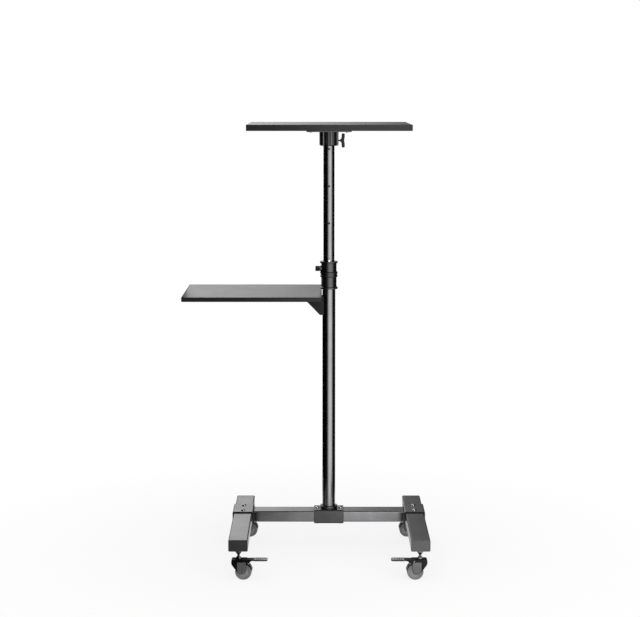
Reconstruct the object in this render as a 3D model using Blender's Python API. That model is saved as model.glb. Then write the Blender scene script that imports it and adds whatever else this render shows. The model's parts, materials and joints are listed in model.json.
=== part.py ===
"""Audio visual cart: a rolling stand with a telescopic pole, a turning top tray and a side tray.

Metres, +Z up. The front of the cart looks along -Y and its side tray lies towards -X. Pieces are
drawn around the pole's axis, with the floor at height zero, and the whole cart then hangs from one
empty, which sets the origin on the floor under the middle of the cart.
"""

import math

import bmesh
import bpy
from mathutils import Vector

# Clearances and facets
GAP = 0.0003
OVERRUN = 0.006
FULL_TURN = 2.0 * math.pi
POLE_STEPS = 32
COLLAR_STEPS = 24
WHEEL_STEPS = 24
CORE_STEPS = 16
ROUND_STEPS = 12
CORNER_STEPS = 3
SMOOTH_ANGLE = math.radians(35.0)

# Casters
WHEEL_RADIUS = 0.0215
WHEEL_WIDTH = 0.018
TREAD_DEPTH = 0.0055
TREAD_EDGE = 0.0025
HUB_RADIUS = 0.0065
HUB_DISH = 0.0020
AXLE_RADIUS = 0.0030
AXLE_HEAD_RADIUS = 0.0046
AXLE_HEAD_HEIGHT = 0.0015
WHEEL_TRAIL = 0.0124
FORK_TOP = 0.0545
FORK_WEB = 0.0085
FORK_SIDE_ROOM = 0.0010
FORK_CHEEK = 0.0025
FORK_CORNER = 0.0030
HOOD_OUTWARD = 0.0185
HOOD_INWARD = 0.0235
HOOD_WALL = 0.0030
HOOD_SKIRT_HEIGHT = 0.0440
HOOD_NOSE_HEIGHT = 0.0460
CHEEK_NOSE_HEIGHT = 0.0380
CHEEK_RADIUS = 0.0123
CHEEK_FOOT_HEIGHT = 0.0160
CHEEK_OFFSET = 0.0078
STEM_RADIUS = 0.0030
STEM_RIVET_RADIUS = 0.0055
STEM_RIVET_HEIGHT = 0.0018
STEM_THREAD_RADIUS = 0.0040
STEM_THREAD_LENGTH = 0.0160
NECK_HEIGHT = 0.0262
NECK_RADIUS = 0.0083
NECK_SHARES = ((0.82, 0.0), (0.82, 0.11), (0.37, 0.34), (0.37, 0.38), (1.0, 0.69), (1.0, 1.0))
STEM_NUT_WIDTH = 0.0130
STEM_NUT_HEIGHT = 0.0065

# Brake pedals, measured from the stem's axis and from the floor
PEDAL_PIVOT_OUT = 0.0155
PEDAL_PIVOT_HEIGHT = 0.0503
PEDAL_PIN_RADIUS = 0.0017
PEDAL_HEEL_OUT = 0.0104
PEDAL_TIP_OUT = 0.0750
PEDAL_PADDLE_OUT = 0.0270
PEDAL_PADDLE_WIDTH = 0.0240
PEDAL_PADDLE_THICKNESS = 0.0030
PEDAL_TOP_HEIGHT = 0.0540
PEDAL_ROOM_OUT = 0.0093
PEDAL_HEEL_DROP = 0.0065
PEDAL_SHOE_HEIGHT = 0.0434
PEDAL_SHOE_OUT = 0.0245
PEDAL_SHOE_LENGTH = 0.0035
PEDAL_GUSSET_OUT = 0.0360

# Base frame
LEG_LENGTH = 0.450
LEG_WIDTH = 0.050
LEG_HEIGHT = 0.030
LEG_CORNER = 0.003
LEG_REACH_FRONT = 0.305
LEG_SPACING = 0.470
TUBE_WALL = 0.0015
CAP_THICKNESS = 0.003
CAP_PLUG_LENGTH = 0.012
CAP_EDGE = 0.0012
STEM_INSET = 0.028
CROSSBAR_DEPTH = 0.050
SADDLE_LENGTH = 0.084
SADDLE_PLATE = 0.003
SADDLE_SKIRT = 0.026
BOLT_SPACING = 0.050
BOLT_RADIUS = 0.0030
BOLT_HEAD_RADIUS = 0.0058
BOLT_HEAD_HEIGHT = 0.0036
NUT_WIDTH = 0.0100
NUT_HEIGHT = 0.0050
BOLT_TAIL = 0.0020
SLEEVE_LENGTH = 0.081
SLEEVE_WALL = 0.0035

# Lower pole and its foot
LOWER_POLE_RADIUS = 0.0175
LOWER_POLE_LENGTH = 0.668
POLE_WALL = 0.0012
FOOT_RING_RADIUS = 0.0235
FOOT_RING_HEIGHT = 0.008
FOOT_RING_CHAMFER = 0.0015
FOOT_PLUG_HEIGHT = 0.030
FOOT_BOLT_RADIUS = 0.0040
FOOT_BOLT_GRIP = 0.020
FOOT_BOLT_HEAD_WIDTH = 0.0130
FOOT_BOLT_HEAD_HEIGHT = 0.0053

# Clamp collar, its bush and its knob
COLLAR_HEIGHT = 0.075
COLLAR_RADIUS = 0.0207
COLLAR_FLANGE_RADIUS = 0.0240
COLLAR_END_FLANGE = 0.006
COLLAR_BAND_HEIGHT = 0.013
COLLAR_BAND_START = 0.033
COLLAR_BAND_GROOVE = 0.0010
COLLAR_SLOPE = 0.0015
COLLAR_LIP = 0.0134
BUSH_LENGTH = 0.040
BUSH_WALL = 0.0007
BUSH_FLANGE = 0.0020
KNOB_DROP = 0.020
KNOB_RADIUS = 0.0075
KNOB_LENGTH = 0.0124
KNOB_LOBES = 6
KNOB_LOBE_DEPTH = 0.0009
KNOB_CHAMFER = 0.0012
KNOB_SCREW_RADIUS = 0.0025
KNOB_GRIP = 0.0050
BOSS_RADIUS = 0.0080

# Height pin and the eye that guides it
PIN_RISE = 0.0040
PIN_RADIUS = 0.0025
PIN_HEAD_RADIUS = 0.0036
PIN_HEAD_LENGTH = 0.0030
PIN_TRAVEL = 0.0040
EYE_WIDTH = 0.0068
EYE_HEIGHT = 0.0071
EYE_POLE_ROOM = 0.0012
EYE_RIM_INSET = 0.0008

# Upper pole
UPPER_POLE_RADIUS = 0.0150
UPPER_POLE_LENGTH = 0.547
EXTENSION = 0.312
HOLE_PITCH = 0.100
HOLES_BELOW = 1
HOLES_ABOVE = 3
GUIDE_FLANGE = 0.004
GUIDE_PLUG = 0.020
GUIDE_BORE = 0.0080

# Top socket and its wing screw
SOCKET_HEIGHT = 0.038
SOCKET_BORE_DEPTH = 0.036
SOCKET_RADIUS = 0.0260
SOCKET_CORE_RADIUS = 0.0232
SOCKET_RIBS = 12
SOCKET_CHAMFER = 0.0030
RIB_EDGE_SHARES = (0.18, 0.30, 0.70, 0.82)
FLANGE_SIDE = 0.120
FLANGE_THICKNESS = 0.0057
FLANGE_CORNER = 0.006
FLANGE_SCREW_INSET = 0.012
WING_DROP = 0.024
WING_SPAN = 0.038
WING_WIDTH = 0.0086
WING_THICKNESS = 0.0060
WING_START = 0.0340
WING_NECK_LENGTH = 0.0045
WING_NECK_HEIGHT = 0.0060
WING_HUB_HEIGHT = 0.0140
WING_TIP_CHAMFER = 0.0020
WING_SCREW_RADIUS = 0.0020

# Trays
TOP_TRAY_LENGTH = 0.430
TOP_TRAY_DEPTH = 0.350
TOP_TRAY_THICKNESS = 0.016
LOWER_TRAY_LENGTH = 0.370
LOWER_TRAY_DEPTH = 0.280
LOWER_TRAY_THICKNESS = 0.012
LOWER_TRAY_DROP = 0.006
LOWER_TRAY_POLE_ROOM = 0.002
BOARD_CORNER = 0.004
BOARD_EDGE = 0.0012
TRAY_SCREW_RADIUS = 0.0020
SCREW_BITE_SHARE = 0.6

# Bracket of the lower tray
BRACKET_DROP = 0.052
BRACKET_REACH = 0.0545
BRACKET_FOOT = 0.0030
BRACKET_WIDTH = 0.033
BRACKET_PLATE = 0.0025
BRACKET_BACK = 0.0045
BRACKET_WRAP = 0.0035
TRAY_PLATE_LENGTH = 0.130
TRAY_PLATE_WIDTH = 0.100
TRAY_PLATE_CORNER = 0.008
TRAY_PLATE_SCREW_INSET = 0.012
POLE_BOLT_RADIUS = 0.0025
POLE_BOLT_HEAD_RADIUS = 0.0048
POLE_BOLT_HEAD_HEIGHT = 0.0028
POLE_BOLT_DROP_SHARES = {"upper": 0.36, "lower": 0.74}

# Heights and places that follow from the sizes above
FRAME_BOTTOM = FORK_TOP + GAP + NECK_HEIGHT
FRAME_TOP = FRAME_BOTTOM + LEG_HEIGHT
LEG_FRONT = -LEG_REACH_FRONT
LEG_REAR = LEG_FRONT + LEG_LENGTH
LEG_X = LEG_SPACING / 2.0
SLEEVE_TOP = FRAME_TOP + GAP + SLEEVE_WALL
SLEEVE_BOTTOM = FRAME_BOTTOM - GAP - SLEEVE_WALL
POLE_FOOT = SLEEVE_TOP + GAP
LOWER_POLE_BORE = LOWER_POLE_RADIUS - POLE_WALL
LOWER_POLE_TOP = POLE_FOOT + LOWER_POLE_LENGTH
BUSH_TOP = LOWER_POLE_TOP + GAP + BUSH_FLANGE
COLLAR_TOP = BUSH_TOP + GAP + COLLAR_LIP
COLLAR_BOTTOM = COLLAR_TOP - COLLAR_HEIGHT
KNOB_HEIGHT = COLLAR_TOP - KNOB_DROP
PIN_HEIGHT = COLLAR_TOP + PIN_RISE
SOCKET_BOTTOM = COLLAR_TOP + EXTENSION
FLANGE_BOTTOM = SOCKET_BOTTOM + SOCKET_HEIGHT
FLANGE_TOP = FLANGE_BOTTOM + FLANGE_THICKNESS
UPPER_POLE_TOP = SOCKET_BOTTOM + SOCKET_BORE_DEPTH - GAP
UPPER_POLE_BOTTOM = UPPER_POLE_TOP - UPPER_POLE_LENGTH
WING_HEIGHT = FLANGE_BOTTOM - WING_DROP
TOP_TRAY_BOTTOM = FLANGE_TOP + GAP
LOWER_TRAY_TOP = COLLAR_BOTTOM - LOWER_TRAY_DROP
LOWER_TRAY_BOTTOM = LOWER_TRAY_TOP - LOWER_TRAY_THICKNESS
BRACKET_TOP = LOWER_TRAY_BOTTOM - GAP
POLE_CLEARANCE_RADIUS = LOWER_POLE_RADIUS + GAP
FORK_HALF = WHEEL_WIDTH / 2.0 + FORK_SIDE_ROOM + FORK_CHEEK
FORK_ROOM_HALF = WHEEL_WIDTH / 2.0 + FORK_SIDE_ROOM
FORK_WEB_BOTTOM = FORK_TOP - FORK_WEB

# Finishes: colour, metallic, roughness
STEEL_BLACK = ("powder_coated_steel", (0.020, 0.020, 0.022), 0.35, 0.34)
POLE_BLACK = ("gloss_black_tube", (0.012, 0.012, 0.013), 0.30, 0.20)
PLASTIC_BLACK = ("black_plastic", (0.022, 0.022, 0.023), 0.0, 0.45)
BOARD_BLACK = ("black_laminate", (0.035, 0.035, 0.036), 0.0, 0.50)
ZINC = ("zinc_plate", (0.55, 0.55, 0.56), 1.0, 0.30)
TREAD_GREY = ("grey_tread", (0.15, 0.15, 0.15), 0.0, 0.60)
CORE_GREY = ("grey_wheel_core", (0.22, 0.22, 0.22), 0.0, 0.45)
PEDAL_GREY = ("grey_pedal", (0.30, 0.30, 0.30), 0.0, 0.45)


def clear_scene():
    for old in list(bpy.data.objects):
        bpy.data.objects.remove(old, do_unlink=True)


def spot(axis, across, up, along):
    """A point given in the plane square to an axis, and along that axis."""
    if axis == "X":
        return Vector((along, across, up))
    if axis == "Y":
        return Vector((across, along, up))
    return Vector((across, up, along))


def circle(radius, steps, centre=(0.0, 0.0), turn=0.0):
    """Points round a circle. With a turn of half a step, a flat side faces down."""
    angles = [FULL_TURN * (step + turn) / steps for step in range(steps)]
    return [(centre[0] + radius * math.cos(a), centre[1] + radius * math.sin(a)) for a in angles]


def arc(centre, radius, start, end, steps):
    """Points of an arc, from one angle to another, both ends included."""
    angles = [start + (end - start) * step / steps for step in range(steps + 1)]
    return [(centre[0] + radius * math.cos(a), centre[1] + radius * math.sin(a)) for a in angles]


def rounded_rectangle(width, height, corner, centre=(0.0, 0.0)):
    """A rectangle with round corners, in the same count of points whatever its size."""
    points = []
    for quarter in range(4):
        side = 1.0 if quarter in (0, 3) else -1.0
        rise = 1.0 if quarter in (0, 1) else -1.0
        middle = (
            centre[0] + side * (width / 2.0 - corner),
            centre[1] + rise * (height / 2.0 - corner),
        )
        start = FULL_TURN * quarter / 4.0
        points += arc(middle, corner, start, start + FULL_TURN / 4.0, CORNER_STEPS)
    return points


def rectangle(low, high):
    return [(low[0], low[1]), (high[0], low[1]), (high[0], high[1]), (low[0], high[1])]


def hexagon(width, centre=(0.0, 0.0)):
    """A hexagon of this width across its flats, with a point in the middle of each side too."""
    corner = width / 2.0 / math.cos(math.pi / 6.0)
    points = []
    for step in range(ROUND_STEPS):
        reach = corner if step % 2 == 0 else width / 2.0
        angle = FULL_TURN * step / ROUND_STEPS
        points.append((centre[0] + reach * math.cos(angle), centre[1] + reach * math.sin(angle)))
    return points


def lofted(rings, axis="Z"):
    """A closed solid through rings of the same count of points, each with its place on the axis."""
    shape = bmesh.new()
    loops = []
    for outline, along in rings:
        loops.append([shape.verts.new(spot(axis, a, b, along)) for a, b in outline])
    count = len(loops[0])
    for lower, upper in zip(loops, loops[1:]):
        for i in range(count):
            j = (i + 1) % count
            shape.faces.new((lower[i], lower[j], upper[j], upper[i]))
    shape.faces.new(loops[0])
    shape.faces.new(loops[-1])
    bmesh.ops.recalc_face_normals(shape, faces=shape.faces)
    return shape


def prism(outline, start, end, axis="Z"):
    return lofted([(outline, start), (outline, end)], axis)


def hollow_prism(outer, inner, start, end, axis="Z"):
    """A tube between two outlines of the same count of points, open at both ends."""
    shape = bmesh.new()
    loops = []
    for outline, along in ((outer, start), (outer, end), (inner, end), (inner, start)):
        loops.append([shape.verts.new(spot(axis, a, b, along)) for a, b in outline])
    count = len(outer)
    for lower, upper in zip(loops, loops[1:] + loops[:1]):
        for i in range(count):
            j = (i + 1) % count
            shape.faces.new((lower[i], lower[j], upper[j], upper[i]))
    bmesh.ops.recalc_face_normals(shape, faces=shape.faces)
    return shape


def turned(profile, steps, axis="Z", centre=(0.0, 0.0), turn=0.0):
    """A solid turned about an axis. Its profile ends on the axis, or closes on itself as a ring."""
    shape = bmesh.new()
    loops = []
    for radius, along in profile:
        if radius == 0.0:
            loops.append([shape.verts.new(spot(axis, centre[0], centre[1], along))] * steps)
        else:
            ring = circle(radius, steps, centre, turn)
            loops.append([shape.verts.new(spot(axis, a, b, along)) for a, b in ring])
    is_ring = profile[0][0] > 0.0
    pairs = zip(loops, loops[1:] + loops[:1]) if is_ring else zip(loops, loops[1:])
    for lower, upper in pairs:
        for i in range(steps):
            j = (i + 1) % steps
            corners = [lower[i], lower[j], upper[j], upper[i]]
            shape.faces.new(dict.fromkeys(corners))
    bmesh.ops.recalc_face_normals(shape, faces=shape.faces)
    return shape


def rod(radius, start, end, axis="Z", centre=(0.0, 0.0), steps=ROUND_STEPS):
    return prism(circle(radius, steps, centre), start, end, axis)


def box(low, high):
    return prism(rectangle(low[:2], high[:2]), low[2], high[2])


def moved(shape, offset):
    bmesh.ops.translate(shape, verts=shape.verts, vec=Vector(offset))
    return shape


def helper_object(shape, name):
    mesh = bpy.data.meshes.new(name)
    shape.to_mesh(mesh)
    shape.free()
    helper = bpy.data.objects.new(name, mesh)
    bpy.context.scene.collection.objects.link(helper)
    return helper


def carved(shape, cuts=(), joins=()):
    """The solid with others joined to it and then cut from it, as one mesh without modifiers."""
    body = helper_object(shape, "carved_body")
    tools = []
    for operation, group in (("UNION", joins), ("DIFFERENCE", cuts)):
        for other in group:
            tool = helper_object(other, "carving_tool")
            step = body.modifiers.new("carve", "BOOLEAN")
            step.operation = operation
            step.solver = "EXACT"
            step.object = tool
            tools.append(tool)
    bpy.context.view_layer.update()
    graph = bpy.context.evaluated_depsgraph_get()
    mesh = bpy.data.meshes.new_from_object(body.evaluated_get(graph))
    for helper in [body] + tools:
        bpy.data.objects.remove(helper, do_unlink=True)
    result = bmesh.new()
    result.from_mesh(mesh)
    bpy.data.meshes.remove(mesh)
    return result


def finish_material(finish):
    name, colour, metallic, roughness = finish
    material = bpy.data.materials.get(name)
    if material is None:
        material = bpy.data.materials.new(name)
        material.use_nodes = True
        shader = material.node_tree.nodes["Principled BSDF"]
        shader.inputs["Base Color"].default_value = (*colour, 1.0)
        shader.inputs["Metallic"].default_value = metallic
        shader.inputs["Roughness"].default_value = roughness
    return material


def mesh_of(shape, finish, name):
    """A mesh with its material, smooth over its round sides."""
    mesh = bpy.data.meshes.new(name)
    shape.to_mesh(mesh)
    shape.free()
    mesh.materials.append(finish_material(finish))
    mesh.shade_smooth()
    mesh.set_sharp_from_angle(angle=SMOOTH_ANGLE)
    return mesh


def place_mesh(name, mesh, parent):
    piece = bpy.data.objects.new(name, mesh)
    bpy.context.scene.collection.objects.link(piece)
    piece.parent = parent
    return piece


def piece(name, shape, finish, parent):
    return place_mesh(name, mesh_of(shape, finish, name), parent)


def pivot(name, parent, at=(0.0, 0.0, 0.0), turn=0.0):
    """An empty that carries the pieces which move together, on their joint's axis."""
    empty = bpy.data.objects.new(name, None)
    bpy.context.scene.collection.objects.link(empty)
    empty.parent = parent
    empty.location = at
    empty.rotation_euler = (0.0, 0.0, turn)
    return empty


def screw_profile(shank_radius, shank_length, head_radius, head_height):
    """Half of a round-headed screw, its shank below zero and its head above."""
    crown = head_height / 2.0
    return [
        (0.0, -shank_length),
        (shank_radius, -shank_length),
        (shank_radius, 0.0),
        (head_radius, 0.0),
        (head_radius, crown),
        (head_radius - crown, head_height),
        (0.0, head_height),
    ]


def screw(sizes, seat, direction=1.0, axis="Z", centre=(0.0, 0.0)):
    """A screw whose head stands on a seat and looks along the direction."""
    profile = [(radius, seat + direction * along) for radius, along in screw_profile(*sizes)]
    return turned(profile, ROUND_STEPS, axis, centre)


def bolt_with_nut(seat, nut_top, centre):
    """A frame bolt from above, and its nut under what the bolt clamps, as one solid."""
    tail = nut_top - NUT_HEIGHT - BOLT_TAIL
    bolt = screw((BOLT_RADIUS, seat - tail, BOLT_HEAD_RADIUS, BOLT_HEAD_HEIGHT), seat, centre=centre)
    nut = prism(hexagon(NUT_WIDTH, centre), nut_top - NUT_HEIGHT, nut_top)
    return carved(bolt, joins=[nut])


def board(length, depth, thickness, bottom, centre):
    """A flat board with round corners and eased edges."""
    full = rounded_rectangle(length, depth, BOARD_CORNER, centre)
    trim = 2.0 * BOARD_EDGE
    eased = rounded_rectangle(length - trim, depth - trim, BOARD_CORNER - BOARD_EDGE, centre)
    top = bottom + thickness
    return lofted(
        [(eased, bottom), (full, bottom + BOARD_EDGE), (full, top - BOARD_EDGE), (eased, top)]
    )


def corner_spots(length, depth, inset, centre=(0.0, 0.0)):
    return [
        (centre[0] + side * (length / 2.0 - inset), centre[1] + rise * (depth / 2.0 - inset))
        for side in (-1.0, 1.0)
        for rise in (-1.0, 1.0)
    ]


def tube_outlines(width, height, corner, wall, centre):
    outer = rounded_rectangle(width, height, corner, centre)
    inner = rounded_rectangle(
        width - 2.0 * wall, height - 2.0 * wall, max(corner - wall, wall / 2.0), centre
    )
    return outer, inner


def saddle_bolt_spots(side):
    half = BOLT_SPACING / 2.0
    return {"front": (side * LEG_X, -half), "rear": (side * LEG_X, half)}


def sleeve_bolt_spots():
    """Midway between the foot ring and the sleeve's ends."""
    reach = (FOOT_RING_RADIUS + SLEEVE_LENGTH / 2.0) / 2.0
    return {"left": (-reach, 0.0), "right": (reach, 0.0)}


def stem_spots():
    """Each caster's name, its place under a leg's end, and the turn that trails its wheel inward."""
    spots = []
    for end, y in (("front", LEG_FRONT + STEM_INSET), ("rear", LEG_REAR - STEM_INSET)):
        spots.append((end + "_left", (-LEG_X, y, 0.0), 0.0))
        spots.append((end + "_right", (LEG_X, y, 0.0), math.pi))
    return spots


def build_leg(cart, name, side):
    middle = (side * LEG_X, FRAME_BOTTOM + LEG_HEIGHT / 2.0)
    outer, inner = tube_outlines(LEG_WIDTH, LEG_HEIGHT, LEG_CORNER, TUBE_WALL, middle)
    start = LEG_FRONT + CAP_THICKNESS + GAP
    end = LEG_REAR - CAP_THICKNESS - GAP
    tube = hollow_prism(outer, inner, start, end, "Y")
    cuts = []
    for place in saddle_bolt_spots(side).values():
        low = FRAME_BOTTOM - OVERRUN
        high = FRAME_TOP + OVERRUN
        cuts.append(rod(BOLT_RADIUS + GAP, low, high, "Z", place))
    for _, (x, y, _), _ in stem_spots():
        if x * side > 0.0:
            low = FRAME_BOTTOM - OVERRUN
            high = FRAME_BOTTOM + TUBE_WALL + OVERRUN
            cuts.append(rod(STEM_THREAD_RADIUS + GAP, low, high, "Z", (x, y)))
    piece("leg_" + name, carved(tube, cuts), STEEL_BLACK, cart)
    for end_name, face, inward in (("front", LEG_FRONT, 1.0), ("rear", LEG_REAR, -1.0)):
        build_leg_cap(cart, "leg_cap_" + end_name + "_" + name, middle, face, inward)


def build_leg_cap(cart, name, middle, face, inward):
    """A moulded cap: a plate as wide as the tube, and a plug that fills the tube's mouth."""
    room = 2.0 * (TUBE_WALL + GAP)
    trim = 2.0 * CAP_EDGE
    plate = rounded_rectangle(LEG_WIDTH, LEG_HEIGHT, LEG_CORNER, middle)
    eased = rounded_rectangle(LEG_WIDTH - trim, LEG_HEIGHT - trim, LEG_CORNER - CAP_EDGE, middle)
    plug = rounded_rectangle(LEG_WIDTH - room, LEG_HEIGHT - room, LEG_CORNER - TUBE_WALL, middle)
    back = face + inward * CAP_THICKNESS
    end = back + inward * CAP_PLUG_LENGTH
    rings = [
        (eased, face),
        (plate, face + inward * CAP_EDGE),
        (plate, back),
        (plug, back),
        (plug, end),
    ]
    piece(name, lofted(rings, "Y"), PLASTIC_BLACK, cart)


def build_saddle(cart, name, side):
    """A bent plate over the leg, welded to the crossbar's end and bolted through the leg."""
    inner_half = LEG_WIDTH / 2.0 + GAP
    outer_half = inner_half + SADDLE_PLATE
    under = FRAME_TOP + GAP
    top = under + SADDLE_PLATE
    foot = top - SADDLE_SKIRT
    x = side * LEG_X
    bend = SADDLE_PLATE
    outline = [(x - outer_half, foot)]
    outline += arc((x - outer_half + bend, top - bend), bend, math.pi, math.pi / 2.0, CORNER_STEPS)
    outline += arc((x + outer_half - bend, top - bend), bend, math.pi / 2.0, 0.0, CORNER_STEPS)
    outline += [(x + outer_half, foot), (x + inner_half, foot)]
    outline += [(x + inner_half, under), (x - inner_half, under), (x - inner_half, foot)]
    plate = prism(outline, -SADDLE_LENGTH / 2.0, SADDLE_LENGTH / 2.0, "Y")
    cuts = []
    for place in saddle_bolt_spots(side).values():
        cuts.append(rod(BOLT_RADIUS + GAP, under - OVERRUN, top + OVERRUN, "Z", place))
    piece("saddle_" + name, carved(plate, cuts), STEEL_BLACK, cart)
    for end, place in saddle_bolt_spots(side).items():
        bolt = bolt_with_nut(top + GAP, FRAME_BOTTOM - GAP, place)
        piece("saddle_bolt_" + end + "_" + name, bolt, ZINC, cart)


def build_crossbar(cart):
    middle = (0.0, FRAME_BOTTOM + LEG_HEIGHT / 2.0)
    outer, inner = tube_outlines(CROSSBAR_DEPTH, LEG_HEIGHT, LEG_CORNER, TUBE_WALL, middle)
    reach = LEG_X - LEG_WIDTH / 2.0 - GAP - SADDLE_PLATE - GAP
    bar = hollow_prism(outer, inner, -reach, reach, "X")
    outer, inner = tube_outlines(
        CROSSBAR_DEPTH + 2.0 * (GAP + SLEEVE_WALL),
        LEG_HEIGHT + 2.0 * (GAP + SLEEVE_WALL),
        LEG_CORNER + SLEEVE_WALL,
        SLEEVE_WALL,
        middle,
    )
    sleeve = hollow_prism(outer, inner, -SLEEVE_LENGTH / 2.0, SLEEVE_LENGTH / 2.0, "X")
    low = SLEEVE_BOTTOM - OVERRUN
    high = SLEEVE_TOP + OVERRUN
    bolt_hole = BOLT_RADIUS + GAP
    foot_hole = FOOT_BOLT_RADIUS + GAP
    for name, tube in (("crossbar", bar), ("base_sleeve", sleeve)):
        cuts = [rod(foot_hole, low, high)]
        for place in sleeve_bolt_spots().values():
            cuts.append(rod(bolt_hole, low, high, "Z", place))
        piece(name, carved(tube, cuts), STEEL_BLACK, cart)
    for side, place in sleeve_bolt_spots().items():
        bolt = bolt_with_nut(SLEEVE_TOP + GAP, SLEEVE_BOTTOM - GAP, place)
        piece("sleeve_bolt_" + side, bolt, ZINC, cart)


def build_pole_foot(cart):
    """The ring round the pole's foot, and the plug and bolt that hold the pole down."""
    top = POLE_FOOT + FOOT_RING_HEIGHT
    ring = [
        (POLE_CLEARANCE_RADIUS, POLE_FOOT),
        (FOOT_RING_RADIUS, POLE_FOOT),
        (FOOT_RING_RADIUS, top - FOOT_RING_CHAMFER),
        (FOOT_RING_RADIUS - FOOT_RING_CHAMFER, top),
        (POLE_CLEARANCE_RADIUS, top),
    ]
    piece("pole_base_ring", turned(ring, COLLAR_STEPS), PLASTIC_BLACK, cart)
    plug_top = POLE_FOOT + FOOT_PLUG_HEIGHT
    plug_radius = LOWER_POLE_BORE - GAP
    bore = FOOT_BOLT_RADIUS + GAP
    plug = [(bore, POLE_FOOT), (plug_radius, POLE_FOOT), (plug_radius, plug_top), (bore, plug_top)]
    piece("pole_foot_plug", turned(plug, ROUND_STEPS), ZINC, cart)
    seat = SLEEVE_BOTTOM - GAP
    head = prism(hexagon(FOOT_BOLT_HEAD_WIDTH), seat - FOOT_BOLT_HEAD_HEIGHT, seat)
    overlap = FOOT_BOLT_HEAD_HEIGHT / 2.0
    shank = rod(FOOT_BOLT_RADIUS, seat - overlap, POLE_FOOT + FOOT_BOLT_GRIP)
    piece("pole_foot_bolt", carved(head, joins=[shank]), ZINC, cart)


def build_lower_pole(cart):
    tube = hollow_prism(
        circle(LOWER_POLE_RADIUS, POLE_STEPS),
        circle(LOWER_POLE_BORE, POLE_STEPS),
        POLE_FOOT,
        LOWER_POLE_TOP,
    )
    inward = -LOWER_POLE_BORE + OVERRUN
    outward = -LOWER_POLE_RADIUS - OVERRUN
    cuts = [rod(KNOB_SCREW_RADIUS + GAP, outward, inward, "X", (0.0, KNOB_HEIGHT))]
    for height in pole_bolt_heights().values():
        cuts.append(rod(POLE_BOLT_RADIUS + GAP, outward, inward, "X", (0.0, height), ROUND_STEPS))
    piece("lower_pole", carved(tube, cuts), POLE_BLACK, cart)


def collar_profile():
    """The clamp collar's section: end flanges, a grooved band, and a lip that covers the pole's end."""
    body = COLLAR_RADIUS
    flange = COLLAR_FLANGE_RADIUS
    groove = flange - COLLAR_BAND_GROOVE
    band_low = COLLAR_BOTTOM + COLLAR_BAND_START
    band_high = band_low + COLLAR_BAND_HEIGHT
    band_edge = COLLAR_BAND_HEIGHT / 4.0
    slope = COLLAR_SLOPE
    seat = COLLAR_TOP - COLLAR_LIP
    lip = UPPER_POLE_RADIUS + GAP
    bore = POLE_CLEARANCE_RADIUS
    return [
        (bore, COLLAR_BOTTOM),
        (flange, COLLAR_BOTTOM),
        (flange, COLLAR_BOTTOM + COLLAR_END_FLANGE - slope),
        (body, COLLAR_BOTTOM + COLLAR_END_FLANGE),
        (body, band_low - slope),
        (flange, band_low),
        (flange, band_low + band_edge),
        (groove, band_low + band_edge + COLLAR_BAND_GROOVE),
        (groove, band_high - band_edge - COLLAR_BAND_GROOVE),
        (flange, band_high - band_edge),
        (flange, band_high),
        (body, band_high + slope),
        (body, COLLAR_TOP - COLLAR_END_FLANGE),
        (flange, COLLAR_TOP - COLLAR_END_FLANGE + slope),
        (flange, COLLAR_TOP),
        (lip, COLLAR_TOP),
        (lip, seat),
        (bore, seat),
    ]


def build_collar(cart):
    body = turned(collar_profile(), COLLAR_STEPS)
    outer_face = -COLLAR_FLANGE_RADIUS
    inner_face = -(COLLAR_RADIUS + POLE_CLEARANCE_RADIUS) / 2.0
    boss = rod(BOSS_RADIUS, outer_face, inner_face, "X", (0.0, KNOB_HEIGHT))
    screw_hole = rod(
        KNOB_SCREW_RADIUS + GAP, outer_face - OVERRUN, -UPPER_POLE_RADIUS, "X", (0.0, KNOB_HEIGHT)
    )
    piece("collar_body", carved(body, [screw_hole], [boss]), PLASTIC_BLACK, cart)

    inner = UPPER_POLE_RADIUS + GAP
    outer = inner + BUSH_WALL
    flange = POLE_CLEARANCE_RADIUS - GAP
    seat = LOWER_POLE_TOP + GAP
    low = BUSH_TOP - BUSH_LENGTH
    bush = turned(
        [
            (inner, low),
            (outer, low),
            (outer, seat),
            (flange, seat),
            (flange, BUSH_TOP),
            (inner, BUSH_TOP),
        ],
        COLLAR_STEPS,
    )
    bush_hole = rod(
        KNOB_SCREW_RADIUS + GAP, -outer - OVERRUN, -inner + OVERRUN, "X", (0.0, KNOB_HEIGHT)
    )
    piece("collar_bush", carved(bush, [bush_hole]), PLASTIC_BLACK, cart)


def lobed_outline(radius):
    """A knob's outline, its grip lobes following a wave round it."""
    steps = KNOB_LOBES * 4
    points = []
    for step in range(steps):
        angle = FULL_TURN * step / steps
        reach = radius - KNOB_LOBE_DEPTH * (1.0 - math.cos(KNOB_LOBES * angle)) / 2.0
        points.append((reach * math.cos(angle), reach * math.sin(angle)))
    return points


def build_collar_knob(cart):
    """The thumb knob and its screw, drawn round the screw's axis."""
    turning = pivot("collar_knob_turn", cart, (0.0, 0.0, KNOB_HEIGHT))
    near = -COLLAR_FLANGE_RADIUS - GAP
    far = near - KNOB_LENGTH
    full = lobed_outline(KNOB_RADIUS)
    eased = lobed_outline(KNOB_RADIUS - KNOB_CHAMFER)
    grip = lofted(
        [(eased, near), (full, near - KNOB_CHAMFER), (full, far + KNOB_CHAMFER), (eased, far)], "X"
    )
    hole_end = near - KNOB_GRIP - GAP
    hole = rod(KNOB_SCREW_RADIUS + GAP, hole_end, near + OVERRUN, "X")
    piece("collar_knob", carved(grip, [hole]), PLASTIC_BLACK, turning)
    tip = -UPPER_POLE_RADIUS - GAP
    piece("collar_knob_screw", rod(KNOB_SCREW_RADIUS, near - KNOB_GRIP, tip, "X"), ZINC, turning)


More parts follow.
